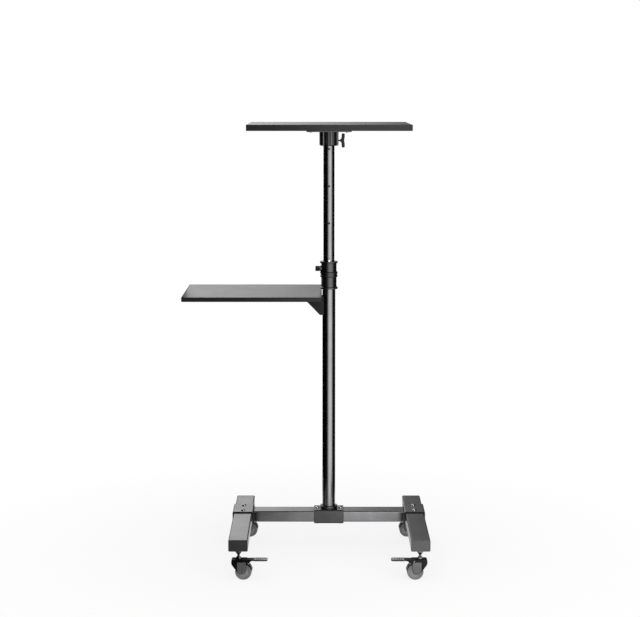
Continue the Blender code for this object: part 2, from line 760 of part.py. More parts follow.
def build_height_pin(cart):
    """The bright pin over the collar's rim. Pushed in, it enters the pole's hole behind it."""
    eye_back = -(UPPER_POLE_RADIUS + EYE_POLE_ROOM)
    eye_front = -(COLLAR_FLANGE_RADIUS - EYE_RIM_INSET)
    low = COLLAR_TOP + GAP
    eye = box((-EYE_WIDTH / 2.0, eye_front, low), (EYE_WIDTH / 2.0, eye_back, low + EYE_HEIGHT))
    hole = rod(PIN_RADIUS + GAP, eye_front - OVERRUN, eye_back + OVERRUN, "Y", (0.0, PIN_HEIGHT))
    piece("pin_eye", carved(eye, [hole]), PLASTIC_BLACK, cart)
    travel = pivot("height_pin_slide", cart, (0.0, 0.0, PIN_HEIGHT))
    nose = -UPPER_POLE_RADIUS - GAP
    shoulder = eye_front - GAP - PIN_TRAVEL
    dome = PIN_HEAD_LENGTH / 3.0
    profile = [
        (0.0, nose),
        (PIN_RADIUS, nose),
        (PIN_RADIUS, shoulder),
        (PIN_HEAD_RADIUS, shoulder),
        (PIN_HEAD_RADIUS, shoulder - PIN_HEAD_LENGTH + dome),
        (PIN_HEAD_RADIUS - dome, shoulder - PIN_HEAD_LENGTH),
        (0.0, shoulder - PIN_HEAD_LENGTH),
    ]
    piece("height_pin", turned(profile, ROUND_STEPS, "Y"), ZINC, travel)


def build_upper_pole(column):
    tube = hollow_prism(
        circle(UPPER_POLE_RADIUS, POLE_STEPS),
        circle(UPPER_POLE_RADIUS - POLE_WALL, POLE_STEPS),
        UPPER_POLE_BOTTOM,
        UPPER_POLE_TOP,
    )
    front = -UPPER_POLE_RADIUS - OVERRUN
    back = -UPPER_POLE_RADIUS + POLE_WALL + OVERRUN
    cuts = []
    for step in range(-HOLES_BELOW, HOLES_ABOVE + 1):
        place = (0.0, PIN_HEIGHT + step * HOLE_PITCH)
        cuts.append(rod(PIN_RADIUS + 2.0 * GAP, front, back, "Y", place))
    piece("upper_pole", carved(tube, cuts), POLE_BLACK, column)
    outer = LOWER_POLE_BORE - GAP
    plug = UPPER_POLE_RADIUS - POLE_WALL - GAP
    seat = UPPER_POLE_BOTTOM - GAP
    guide = [
        (GUIDE_BORE, seat - GUIDE_FLANGE),
        (outer, seat - GUIDE_FLANGE),
        (outer, seat),
        (plug, seat),
        (plug, seat + GUIDE_PLUG),
        (GUIDE_BORE, seat + GUIDE_PLUG),
    ]
    piece("upper_pole_guide", turned(guide, COLLAR_STEPS), PLASTIC_BLACK, column)


def ribbed_outline(radius, core):
    """The socket's outline: ribs of one radius that stand on a core of another."""
    low, rise, fall, high = RIB_EDGE_SHARES
    points = []
    for rib in range(SOCKET_RIBS):
        for share, reach in ((low, core), (rise, radius), (fall, radius), (high, core)):
            angle = FULL_TURN * (rib + share) / SOCKET_RIBS
            points.append((reach * math.cos(angle), reach * math.sin(angle)))
    return points


def build_top_socket(turntable):
    """The moulded socket that caps the upper pole, with the square flange under the top tray."""
    flange = prism(
        rounded_rectangle(FLANGE_SIDE, FLANGE_SIDE, FLANGE_CORNER), FLANGE_BOTTOM, FLANGE_TOP
    )
    full = ribbed_outline(SOCKET_RADIUS, SOCKET_CORE_RADIUS)
    eased = ribbed_outline(SOCKET_RADIUS - SOCKET_CHAMFER, SOCKET_CORE_RADIUS - SOCKET_CHAMFER)
    middle = (FLANGE_BOTTOM + FLANGE_TOP) / 2.0
    barrel = lofted(
        [(eased, SOCKET_BOTTOM), (full, SOCKET_BOTTOM + SOCKET_CHAMFER), (full, middle)]
    )
    bore_top = SOCKET_BOTTOM + SOCKET_BORE_DEPTH
    cuts = [
        rod(UPPER_POLE_RADIUS + GAP, SOCKET_BOTTOM - OVERRUN, bore_top, steps=POLE_STEPS),
        rod(
            WING_SCREW_RADIUS + GAP,
            UPPER_POLE_RADIUS - POLE_WALL,
            SOCKET_RADIUS + OVERRUN,
            "X",
            (0.0, WING_HEIGHT),
        ),
    ]
    for place in flange_screw_spots():
        low = FLANGE_BOTTOM - OVERRUN
        high = FLANGE_TOP + OVERRUN
        cuts.append(rod(TRAY_SCREW_RADIUS + GAP, low, high, "Z", place))
    piece("top_socket", carved(flange, cuts, [barrel]), PLASTIC_BLACK, turntable)


def flange_screw_spots():
    return corner_spots(FLANGE_SIDE, FLANGE_SIDE, FLANGE_SCREW_INSET)


def build_wing_screw(turntable):
    turning = pivot("wing_screw_turn", turntable, (0.0, 0.0, WING_HEIGHT))
    end = WING_START + WING_WIDTH
    neck = WING_START - WING_NECK_LENGTH
    half = WING_SPAN / 2.0
    chamfer = WING_TIP_CHAMFER
    rise = [
        (neck, WING_NECK_HEIGHT / 2.0),
        (WING_START, WING_HUB_HEIGHT / 2.0),
        (WING_START, half - chamfer),
        (WING_START + chamfer, half),
        (end - chamfer, half),
        (end, half - chamfer),
    ]
    fall = [(x, -z) for x, z in reversed(rise)]
    wings = prism(rise + fall, -WING_THICKNESS / 2.0, WING_THICKNESS / 2.0, "Y")
    shank = rod(WING_SCREW_RADIUS, UPPER_POLE_RADIUS + GAP, (neck + end) / 2.0, "X")
    piece("wing_screw", carved(wings, joins=[shank]), PLASTIC_BLACK, turning)


def drilled_board(length, depth, thickness, bottom, centre, spots):
    """A board with blind pilot holes in its underside for the screws of the plate below it."""
    tip = bottom + SCREW_BITE_SHARE * thickness
    holes = [rod(TRAY_SCREW_RADIUS + GAP, bottom - OVERRUN, tip, "Z", place) for place in spots]
    return carved(board(length, depth, thickness, bottom, centre), holes)


def build_top_tray(turntable):
    tray = drilled_board(
        TOP_TRAY_LENGTH,
        TOP_TRAY_DEPTH,
        TOP_TRAY_THICKNESS,
        TOP_TRAY_BOTTOM,
        (0.0, 0.0),
        flange_screw_spots(),
    )
    piece("top_tray", tray, BOARD_BLACK, turntable)


def tray_plate_centre():
    """The bracket's plate runs from the pole's side outward under the lower tray."""
    inner = -(LOWER_POLE_RADIUS + LOWER_TRAY_POLE_ROOM)
    return (inner - TRAY_PLATE_LENGTH / 2.0, 0.0)


def tray_plate_screw_spots():
    """A hole near each corner of the plate, clear of the gusset."""
    return corner_spots(
        TRAY_PLATE_LENGTH, TRAY_PLATE_WIDTH, TRAY_PLATE_SCREW_INSET, tray_plate_centre()
    )


def build_lower_tray(cart):
    inner = -(LOWER_POLE_RADIUS + LOWER_TRAY_POLE_ROOM)
    tray = drilled_board(
        LOWER_TRAY_LENGTH,
        LOWER_TRAY_DEPTH,
        LOWER_TRAY_THICKNESS,
        LOWER_TRAY_BOTTOM,
        (inner - LOWER_TRAY_LENGTH / 2.0, 0.0),
        tray_plate_screw_spots(),
    )
    piece("lower_tray", tray, BOARD_BLACK, cart)


def pole_bolt_heights():
    return {
        name: BRACKET_TOP - share * BRACKET_DROP for name, share in POLE_BOLT_DROP_SHARES.items()
    }


def build_bracket(cart):
    """A folded gusset: two cheeks, a back hollowed to the pole, and a plate under the tray."""
    back = -(LOWER_POLE_RADIUS - BRACKET_WRAP)
    wall = -(LOWER_POLE_RADIUS + BRACKET_BACK)
    foot = BRACKET_TOP - BRACKET_DROP
    reach = -(LOWER_POLE_RADIUS + BRACKET_REACH)
    outline = [
        (back, foot),
        (back, BRACKET_TOP),
        (reach, BRACKET_TOP),
        (reach, BRACKET_TOP - BRACKET_FOOT),
        (wall, foot),
    ]
    half = BRACKET_WIDTH / 2.0
    gusset = prism(outline, -half, half, "Y")
    room_half = half - BRACKET_PLATE
    room = [
        (wall, BRACKET_TOP - BRACKET_PLATE),
        (wall, foot - OVERRUN),
        (reach - OVERRUN, foot - OVERRUN),
        (reach - OVERRUN, BRACKET_TOP - BRACKET_PLATE),
    ]
    centre = tray_plate_centre()
    plate = prism(
        rounded_rectangle(TRAY_PLATE_LENGTH, TRAY_PLATE_WIDTH, TRAY_PLATE_CORNER, centre),
        BRACKET_TOP - BRACKET_PLATE,
        BRACKET_TOP,
    )
    cuts = [
        prism(room, -room_half, room_half, "Y"),
        rod(POLE_CLEARANCE_RADIUS, foot - OVERRUN, BRACKET_TOP + OVERRUN, steps=POLE_STEPS),
    ]
    for place in tray_plate_screw_spots():
        low = BRACKET_TOP - BRACKET_PLATE - OVERRUN
        high = BRACKET_TOP + OVERRUN
        cuts.append(rod(TRAY_SCREW_RADIUS + GAP, low, high, "Z", place))
    seat = wall - GAP
    tip = -(LOWER_POLE_BORE + GAP)
    sizes = (POLE_BOLT_RADIUS, tip - seat, POLE_BOLT_HEAD_RADIUS, POLE_BOLT_HEAD_HEIGHT)
    for name, height in pole_bolt_heights().items():
        place = (0.0, height)
        cuts.append(rod(POLE_BOLT_RADIUS + GAP, wall - OVERRUN, back + OVERRUN, "X", place))
        bolt = screw(sizes, seat, -1.0, "X", place)
        piece("bracket_bolt_" + name, bolt, ZINC, cart)
    piece("lower_tray_bracket", carved(gusset, cuts, [plate]), STEEL_BLACK, cart)


def fork_outline():
    """A caster fork from the side: a hood over the wheel, and a tongue that holds the axle."""
    corner = FORK_CORNER
    quarter = FULL_TURN / 4.0
    top = FORK_TOP - corner
    cheek = (CHEEK_OFFSET, CHEEK_FOOT_HEIGHT + CHEEK_RADIUS)
    skirt = (-HOOD_OUTWARD, HOOD_SKIRT_HEIGHT)
    run = math.hypot(skirt[0] - cheek[0], skirt[1] - cheek[1])
    towards = math.atan2(skirt[1] - cheek[1], skirt[0] - cheek[0])
    tangent = towards + math.acos(CHEEK_RADIUS / run) - FULL_TURN
    outline = [skirt]
    outline += arc((-HOOD_OUTWARD + corner, top), corner, 2.0 * quarter, quarter, CORNER_STEPS)
    outline += arc((HOOD_INWARD - corner, top), corner, quarter, 0.0, CORNER_STEPS)
    outline += [(HOOD_INWARD, HOOD_NOSE_HEIGHT), (cheek[0] + CHEEK_RADIUS, CHEEK_NOSE_HEIGHT)]
    outline += arc(cheek, CHEEK_RADIUS, 0.0, tangent, ROUND_STEPS // 2)
    return outline


def fork_shape(with_pedal):
    fork = prism(fork_outline(), -FORK_HALF, FORK_HALF, "Y")
    room = FORK_ROOM_HALF
    past = HOOD_INWARD + OVERRUN
    cuts = [
        box((-HOOD_OUTWARD + HOOD_WALL, -room, 0.0), (past, room, FORK_WEB_BOTTOM)),
        rod(STEM_RADIUS + GAP, FORK_WEB_BOTTOM - OVERRUN, FORK_TOP + OVERRUN),
        rod(
            AXLE_RADIUS + GAP,
            -FORK_HALF - OVERRUN,
            FORK_HALF + OVERRUN,
            "Y",
            (WHEEL_TRAIL, WHEEL_RADIUS),
        ),
    ]
    if with_pedal:
        low = FORK_WEB_BOTTOM - OVERRUN
        cuts.append(box((PEDAL_ROOM_OUT, -room, low), (past, room, FORK_TOP + OVERRUN)))
        cuts.append(
            rod(
                PEDAL_PIN_RADIUS + GAP,
                -FORK_HALF - OVERRUN,
                FORK_HALF + OVERRUN,
                "Y",
                (PEDAL_PIVOT_OUT, PEDAL_PIVOT_HEIGHT),
            )
        )
    return carved(fork, cuts)


def stem_shape():
    """The swivel stem: a rivet under the fork, a waisted neck, and a thread with the leg's nut."""
    rivet = FORK_WEB_BOTTOM - GAP
    base = FORK_TOP + GAP
    neck = NECK_HEIGHT - GAP
    profile = [
        (0.0, rivet - STEM_RIVET_HEIGHT),
        (STEM_RIVET_RADIUS, rivet - STEM_RIVET_HEIGHT),
        (STEM_RIVET_RADIUS, rivet),
        (STEM_RADIUS, rivet),
        (STEM_RADIUS, base),
    ]
    profile += [(NECK_RADIUS * wide, base + neck * high) for wide, high in NECK_SHARES]
    profile += [
        (STEM_THREAD_RADIUS, base + neck),
        (STEM_THREAD_RADIUS, base + neck + STEM_THREAD_LENGTH),
        (0.0, base + neck + STEM_THREAD_LENGTH),
    ]
    nut_bottom = FRAME_BOTTOM + TUBE_WALL + GAP
    nut = prism(hexagon(STEM_NUT_WIDTH), nut_bottom, nut_bottom + STEM_NUT_HEIGHT)
    return carved(turned(profile, ROUND_STEPS), joins=[nut])


def tread_shape():
    """The tyre, drawn round the axle. Its sides stand so that a flat one meets the floor."""
    rim = WHEEL_RADIUS - TREAD_DEPTH
    swell = 1.0 / math.cos(math.pi / WHEEL_STEPS)
    half = WHEEL_WIDTH / 2.0
    side = half - TREAD_EDGE
    lower = [
        (rim, -half),
        (WHEEL_RADIUS - TREAD_EDGE, -half),
        (swell * WHEEL_RADIUS, -side),
    ]
    upper = [(radius, -along) for radius, along in reversed(lower)]
    return turned(lower + upper, WHEEL_STEPS, "Y", turn=0.5)


def core_shape():
    bore = AXLE_RADIUS + GAP
    rim = WHEEL_RADIUS - TREAD_DEPTH - GAP
    half = WHEEL_WIDTH / 2.0
    face = FORK_ROOM_HALF - GAP
    lower = [
        (bore, -face),
        (HUB_RADIUS, -face),
        (HUB_RADIUS + HUB_DISH, -half + HUB_DISH),
        (rim - HUB_DISH, -half + HUB_DISH),
        (rim, -half),
    ]
    upper = [(radius, -along) for radius, along in reversed(lower)]
    return turned(lower + upper, CORE_STEPS, "Y", turn=0.5)


def double_headed_pin(radius, head_radius, head_height, seat, axis):
    """A plain pin with a head at each end, the heads' inner faces at the seat."""
    lower = [
        (0.0, -seat - head_height),
        (head_radius, -seat - head_height),
        (head_radius, -seat),
        (radius, -seat),
    ]
    upper = [(reach, -along) for reach, along in reversed(lower)]
    return turned(lower + upper, ROUND_STEPS, axis)


def pedal_shape():
    """The brake pedal round its hinge: heel and shoe between the cheeks, and a paddle for the foot."""
    under = PEDAL_TOP_HEIGHT - PEDAL_PADDLE_THICKNESS
    heel = PEDAL_TOP_HEIGHT - PEDAL_HEEL_DROP
    half = FORK_ROOM_HALF - GAP
    end = (PEDAL_GUSSET_OUT + PEDAL_TIP_OUT) / 2.0
    outline = [
        (PEDAL_HEEL_OUT, heel),
        (PEDAL_HEEL_OUT, PEDAL_TOP_HEIGHT),
        (end, PEDAL_TOP_HEIGHT),
        (end, under),
        (PEDAL_GUSSET_OUT, under),
        (PEDAL_SHOE_OUT, PEDAL_SHOE_HEIGHT),
        (PEDAL_SHOE_OUT - PEDAL_SHOE_LENGTH, heel),
    ]
    lever = prism(outline, -half, half, "Y")
    length = PEDAL_TIP_OUT - PEDAL_PADDLE_OUT
    centre = (PEDAL_PADDLE_OUT + length / 2.0, 0.0)
    corner = 2.0 * PEDAL_PADDLE_THICKNESS
    paddle = prism(
        rounded_rectangle(length, PEDAL_PADDLE_WIDTH, corner, centre), under, PEDAL_TOP_HEIGHT
    )
    hinge = (PEDAL_PIVOT_OUT, PEDAL_PIVOT_HEIGHT)
    hole = rod(PEDAL_PIN_RADIUS + GAP, -half - OVERRUN, half + OVERRUN, "Y", hinge)
    pedal = carved(lever, [hole], [paddle])
    return moved(pedal, (-PEDAL_PIVOT_OUT, 0.0, -PEDAL_PIVOT_HEIGHT))


def build_casters(cart):
    """Four swivel casters. The front pair has brake pedals, which point inward with the wheels."""
    stem = mesh_of(stem_shape(), ZINC, "caster_stem")
    plain_fork = mesh_of(fork_shape(False), STEEL_BLACK, "plain_fork")
    brake_fork = mesh_of(fork_shape(True), STEEL_BLACK, "brake_fork")
    tread = mesh_of(tread_shape(), TREAD_GREY, "wheel_tread")
    core = mesh_of(core_shape(), CORE_GREY, "wheel_core")
    axle_pin = double_headed_pin(
        AXLE_RADIUS, AXLE_HEAD_RADIUS, AXLE_HEAD_HEIGHT, FORK_HALF + GAP, "Y"
    )
    axle = mesh_of(axle_pin, ZINC, "wheel_axle")
    pedal = mesh_of(pedal_shape(), PEDAL_GREY, "brake_pedal")
    pin = mesh_of(rod(PEDAL_PIN_RADIUS, -FORK_HALF, FORK_HALF, "Y"), ZINC, "brake_pin")
    for name, place, turn in stem_spots():
        seat = pivot("caster_seat_" + name, cart, place, turn)
        place_mesh("caster_stem_" + name, stem, seat)
        swivel = pivot("caster_swivel_" + name, seat)
        braked = name.startswith("front")
        place_mesh("caster_fork_" + name, brake_fork if braked else plain_fork, swivel)
        at_axle = pivot("wheel_turn_" + name, swivel, (WHEEL_TRAIL, 0.0, WHEEL_RADIUS))
        place_mesh("wheel_axle_" + name, axle, at_axle)
        place_mesh("wheel_tread_" + name, tread, at_axle)
        place_mesh("wheel_core_" + name, core, at_axle)
        if braked:
            hinge_at = (PEDAL_PIVOT_OUT, 0.0, PEDAL_PIVOT_HEIGHT)
            hinge = pivot("brake_hinge_" + name, swivel, hinge_at)
            side = name.split("_")[1]
            place_mesh("brake_pedal_" + side, pedal, hinge)
            place_mesh("brake_pin_" + side, pin, hinge)


def centre_on_origin(cart):
    """Moves the cart so that the origin lies on the floor under the middle of its outline."""
    bpy.context.view_layer.update()
    corners = [
        one.matrix_world @ vertex.co
        for one in bpy.data.objects
        if one.type == "MESH"
        for vertex in one.data.vertices
    ]
    for axis in (0, 1):
        places = [corner[axis] for corner in corners]
        cart.location[axis] = -(min(places) + max(places)) / 2.0
    bpy.context.view_layer.update()


def build_cart():
    clear_scene()
    cart = pivot("cart", None)
    build_crossbar(cart)
    for name, side in (("left", -1.0), ("right", 1.0)):
        build_leg(cart, name, side)
        build_saddle(cart, name, side)
    build_casters(cart)
    build_pole_foot(cart)
    build_lower_pole(cart)
    build_collar(cart)
    build_collar_knob(cart)
    build_height_pin(cart)
    build_lower_tray(cart)
    build_bracket(cart)
    column = pivot("column_slide", cart)
    build_upper_pole(column)
    turntable = pivot("top_tray_turn", column)
    build_top_socket(turntable)
    build_wing_screw(turntable)
    build_top_tray(turntable)
    centre_on_origin(cart)


build_cart()
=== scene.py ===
# %% [markdown]
# # An audio visual cart, dressed piece by piece
#
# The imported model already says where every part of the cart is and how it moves. This lesson gives
# each part the shape and finish that the eye expects: rounded tube edges, pressed plates, screws
# with sockets, and paint with grain. All lengths are in metres, +Z is up, and the camera stands
# on the -Y side, in front of the cart.

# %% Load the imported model
import json
import math

import bmesh
import bpy
from mathutils import Matrix, Vector

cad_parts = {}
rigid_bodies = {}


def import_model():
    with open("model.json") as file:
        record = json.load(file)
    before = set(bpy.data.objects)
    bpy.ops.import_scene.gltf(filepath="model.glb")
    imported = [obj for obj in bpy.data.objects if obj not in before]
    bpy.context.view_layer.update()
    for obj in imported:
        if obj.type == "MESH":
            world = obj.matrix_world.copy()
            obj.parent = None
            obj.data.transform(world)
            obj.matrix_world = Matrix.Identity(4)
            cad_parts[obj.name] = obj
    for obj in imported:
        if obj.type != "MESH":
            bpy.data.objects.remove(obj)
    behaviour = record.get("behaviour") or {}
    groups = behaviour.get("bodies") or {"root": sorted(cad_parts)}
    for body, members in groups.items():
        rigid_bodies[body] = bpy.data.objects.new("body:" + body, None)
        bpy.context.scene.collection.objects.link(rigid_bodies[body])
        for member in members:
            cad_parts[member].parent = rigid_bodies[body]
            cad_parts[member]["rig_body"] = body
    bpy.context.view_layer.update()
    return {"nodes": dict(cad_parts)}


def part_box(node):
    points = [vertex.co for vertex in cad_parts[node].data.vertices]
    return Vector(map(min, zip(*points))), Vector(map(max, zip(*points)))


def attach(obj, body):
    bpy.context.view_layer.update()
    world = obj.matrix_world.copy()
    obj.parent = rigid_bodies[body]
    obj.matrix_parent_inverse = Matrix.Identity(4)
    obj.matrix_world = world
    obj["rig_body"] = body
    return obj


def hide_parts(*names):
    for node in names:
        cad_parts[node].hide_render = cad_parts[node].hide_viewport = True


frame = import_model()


# %% [markdown]
# ## The camera
# The photograph looks at the cart from straight ahead, a little above the top tray. Its vertical
# lines stay nearly upright, so the lens is long and the camera far away. The picture's middle lies
# a little below the lens axis, which the shift takes up.

# %% Camera
PICTURE_WIDTH = 640
PICTURE_SHIFT = 38.0             # pixels from the lens axis down to the picture's middle
CAMERA_PLACE = (0.0390, -4.1709, 1.265)
CAMERA_TILT = math.radians(83.38)
LENS = 88.45                     # millimetres, on a sensor 36 mm wide


def add_camera():
    bpy.ops.object.camera_add(location=CAMERA_PLACE, rotation=(CAMERA_TILT, 0.0, 0.0))
    camera = bpy.context.object
    camera.name = "photo_camera"
    camera.data.sensor_width = 36.0
    camera.data.lens = LENS
    camera.data.shift_y = -PICTURE_SHIFT / PICTURE_WIDTH
    bpy.context.scene.camera = camera
    return camera


print("camera", add_camera().location[:])
bpy.context.scene.view_settings.view_transform = "Standard"

# %% [markdown]
# ## The studio
# The floor is pale and keeps only the cart's soft shadow, so the picture's ground turns white. Its
# colour and the white world come from Light Path: what the camera, a mirror or glass sees is
# white, while the light that falls on the cart stays soft and plain.

# %% Material helpers
class Nodes:
    """Adds nodes to one tree. A value that is a socket gets a link, and anything else is set."""

    def __init__(self, tree):
        self.tree = tree

    def add(self, kind, values=None, **settings):
        node = self.tree.nodes.new(kind if kind.startswith("NodeGroup") else "ShaderNode" + kind)
        for key, value in settings.items():
            setattr(node, key, value)
        for key, value in (values or {}).items():
            if isinstance(value, bpy.types.NodeSocket):
                self.tree.links.new(value, node.inputs[key])
            else:
                node.inputs[key].default_value = value
        return node

    def place(self):
        """Object coordinates, which are metres on the cart."""
        return self.add("TexCoord").outputs["Object"]

    def math(self, operation, *values):
        return self.add("Math", dict(enumerate(values)), operation=operation).outputs[0]

    def vectors(self, operation, *values):
        node = self.add("VectorMath", dict(enumerate(values)), operation=operation)
        return node.outputs["Value" if operation in ("LENGTH", "DOT_PRODUCT") else "Vector"]

    def scaled(self, colour, share):
        return self.add("VectorMath", {0: colour, "Scale": share}, operation="SCALE").outputs[0]

    def noise(self, place, scale, detail, **values):
        inputs = {"Vector": place, "Scale": scale, "Detail": detail, **values}
        return self.add("TexNoise", inputs).outputs["Fac"]

    def ranged(self, value, start, end, first=0.0, last=1.0, **settings):
        """Turns the range from start to end into the range from first to last."""
        ends = {"From Min": start, "From Max": end, "To Min": first, "To Max": last}
        return self.add("MapRange", {"Value": value, **ends}, **settings).outputs[0]

    def group(self, tree, **values):
        return self.add("Group", values, node_tree=tree).outputs[0]


def new_material(name, bare=False):
    """A material and its nodes, with a Principled BSDF unless it is bare."""
    material = bpy.data.materials.new(name)
    material.use_nodes = True
    if bare:
        material.node_tree.nodes.clear()
    return material, Nodes(material.node_tree)


def seen_directly(nodes):
    """1 for rays that show a surface as the eye sees it: straight, in a mirror or through glass."""
    path = nodes.add("LightPath").outputs
    straight = nodes.math("MAXIMUM", path["Is Camera Ray"], path["Is Glossy Ray"])
    return nodes.math("MAXIMUM", straight, path["Is Transmission Ray"])


# %% World and floor
WHITE = (1.0, 1.0, 1.0, 1.0)
WORLD_LEVEL = 0.50
FLOOR_GLOW = 0.82                # near the cart, from where it grows to 1
GLOW_START, GLOW_END = 0.35, 1.1
FLOOR_SIZE = 60.0
FLOOR_DROP = 0.0004


def make_world():
    world = bpy.data.worlds.new("studio_world")
    world.use_nodes = True
    world.node_tree.nodes.clear()
    nodes = Nodes(world.node_tree)
    soft, bright = (nodes.add("Background", {"Color": WHITE, "Strength": level}).outputs[0]
                    for level in (WORLD_LEVEL, 1.0))
    mix = nodes.add("MixShader", {0: seen_directly(nodes), 1: soft, 2: bright})
    nodes.add("OutputWorld", {"Surface": mix.outputs[0]})
    bpy.context.scene.world = world
    return world


def floor_material():
    material, nodes = new_material("studio_floor", bare=True)
    level = nodes.ranged(nodes.vectors("LENGTH", nodes.place()), GLOW_START, GLOW_END, FLOOR_GLOW, 1.0)
    share = nodes.math("MULTIPLY", seen_directly(nodes), level)
    paint = nodes.add("BsdfDiffuse", {"Color": WHITE}).outputs[0]
    glow = nodes.add("Emission", {"Color": WHITE, "Strength": 1.0}).outputs[0]
    mix = nodes.add("MixShader", {0: share, 1: paint, 2: glow})
    nodes.add("OutputMaterial", {"Surface": mix.outputs[0]})
    return material


def add_floor():
    bpy.ops.mesh.primitive_plane_add(size=FLOOR_SIZE, location=(0.0, 0.0, -FLOOR_DROP))
    floor = bpy.context.object
    floor.name = "studio_floor"
    floor.data.materials.append(floor_material())
    return floor


print(make_world().name, add_floor().name)

# %% [markdown]
# ## Softboxes and cards
# Two large softboxes light the cart evenly from the front right and from above. What its paint
# mirrors is set apart from them, as with cards and flags in a studio. Close round the cart stands
# a ring: a bright card in front and black flags at both sides, so a round tube shows one soft
# band between dark flanks. Level tops mirror what is far behind and higher up, so a tall card
# there brightens them, more at the left than at the right as in the photograph. A flag below it
# keeps the poles' outlines dark. All of these act on reflections only and cast no light.

# %% Softboxes
pole_low, pole_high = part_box("lower_pole")
POLE = (pole_low + pole_high) / 2.0
POLE_AXIS = (POLE.x, POLE.y)
AIM_HEIGHT = 0.65                # where the softboxes point
KEY_WATTS = 42.0
TOP_WATTS = 20.0


def around(azimuth, distance, height):
    """A place round the pole. Azimuth 0 is towards the camera, and 90 towards +X."""
    turn = math.radians(azimuth)
    return Vector((POLE.x + distance * math.sin(turn), POLE.y - distance * math.cos(turn), height))


def add_softbox(name, place, size, watts):
    bpy.ops.object.light_add(type="AREA", location=place)
    lamp = bpy.context.object
    lamp.name = name
    lamp.rotation_euler = (Vector((*POLE_AXIS, AIM_HEIGHT)) - place).to_track_quat("-Z", "Y").to_euler()
    lamp.data.shape = "RECTANGLE"
    lamp.data.size, lamp.data.size_y = size
    lamp.data.energy = watts
    lamp.visible_glossy = False
    return lamp


for lamp in (
    add_softbox("key_softbox", around(azimuth=25.0, distance=3.0, height=1.3), (2.6, 2.2), KEY_WATTS),
    add_softbox("top_softbox", around(azimuth=-20.0, distance=1.2, height=3.2), (2.4, 2.4), TOP_WATTS),
):
    print(lamp.name, lamp.data.energy, "W")

# %% Cards
CARD_RING = 0.45
CARD_HEIGHT = 2.2
FRONT_LEVEL = 3.3
FRONT_RISE = (-30.0, 12.0)       # azimuths in degrees between which the front card grows bright
FRONT_FALL = (38.0, 76.0)        # and between which it fades again
FAR, WIDE = 6.0, 14.0
WALL_FOOT, WALL_HEAD = 1.18, 10.5
WALL_LEVELS = (1.75, 0.20)       # brightness behind the left leg and behind the right leg
WALL_SPAN = (-0.5, 0.7)          # and the X between which it changes
FLAG_HEIGHT = 0.09
FLAG_START = 0.30                # how far behind the pole the flag over the floor begins
FLAG_RIGHT_END, FLAG_LEFT_START = 124.0, 244.0
CEILING_HALF = 1.5


def fading_round(nodes):
    """The front card's brightness: it rises and falls softly round the ring."""
    parts = nodes.add("SeparateXYZ", {0: nodes.vectors("SUBTRACT", nodes.place(), POLE)}).outputs
    azimuth = nodes.math("ARCTAN2", parts["X"], nodes.math("MULTIPLY", parts["Y"], -1.0))
    rise, fall = (
        nodes.ranged(azimuth, *map(math.radians, span), *levels, interpolation_type="SMOOTHSTEP")
        for span, levels in ((FRONT_RISE, (0.0, FRONT_LEVEL)), (FRONT_FALL, (1.0, 0.0)))
    )
    return nodes.math("MULTIPLY", rise, fall)


def fading_across(nodes):
    """The rear card's brightness: it sinks from behind the left leg to behind the right one."""
    across = nodes.add("SeparateXYZ", {0: nodes.place()}).outputs["X"]
    return nodes.ranged(across, *WALL_SPAN, *WALL_LEVELS)


def black(nodes):
    return 0.0


def reflections_only(card, glow):
    """The card shows in reflections alone, with the brightness that glow gives."""
    material, nodes = new_material(card.name, bare=True)
    light = nodes.add("Emission", {"Color": WHITE, "Strength": glow(nodes)})
    nodes.add("OutputMaterial", {"Surface": light.outputs[0]})
    card.data.materials.append(material)
    for kind in ("camera", "diffuse", "transmission", "volume_scatter", "shadow"):
        setattr(card, "visible_" + kind, False)
    return card


def add_ring_card(name, start, end, glow):
    """A curved card from one azimuth to another: a cylinder's wall, with the rest deleted."""
    bpy.ops.mesh.primitive_cylinder_add(
        vertices=180, radius=CARD_RING, depth=CARD_HEIGHT, end_fill_type="NOTHING",
        location=(*POLE_AXIS, CARD_HEIGHT / 2.0),
    )
    card = bpy.context.object
    card.name = name
    bpy.ops.object.mode_set(mode="EDIT")
    shape = bmesh.from_edit_mesh(card.data)
    bpy.ops.mesh.select_mode(type="FACE")
    for face in shape.faces:
        middle = face.calc_center_median()
        azimuth = math.degrees(math.atan2(middle.x, -middle.y))
        face.select_set((azimuth - start) % 360.0 > end - start)
    bmesh.update_edit_mesh(card.data)
    bpy.ops.mesh.delete(type="FACE")
    bpy.ops.object.mode_set(mode="OBJECT")
    bpy.ops.object.transform_apply(location=True, rotation=True, scale=True)
    return reflections_only(card, glow)


def add_flat_card(name, low, high, glow):
    """A flat card between two corners, upright where they differ in height."""
    low, high = Vector(low), Vector(high)
    upright = high.z > low.z
    bpy.ops.mesh.primitive_plane_add(size=1.0, location=(low + high) / 2.0,
                                     rotation=(math.pi / 2.0 if upright else 0.0, 0.0, 0.0))
    card = bpy.context.object
    card.name = name
    card.scale = (high.x - low.x, high.z - low.z if upright else high.y - low.y, 1.0)
    bpy.ops.object.transform_apply(location=True, rotation=True, scale=True)
    return reflections_only(card, glow)


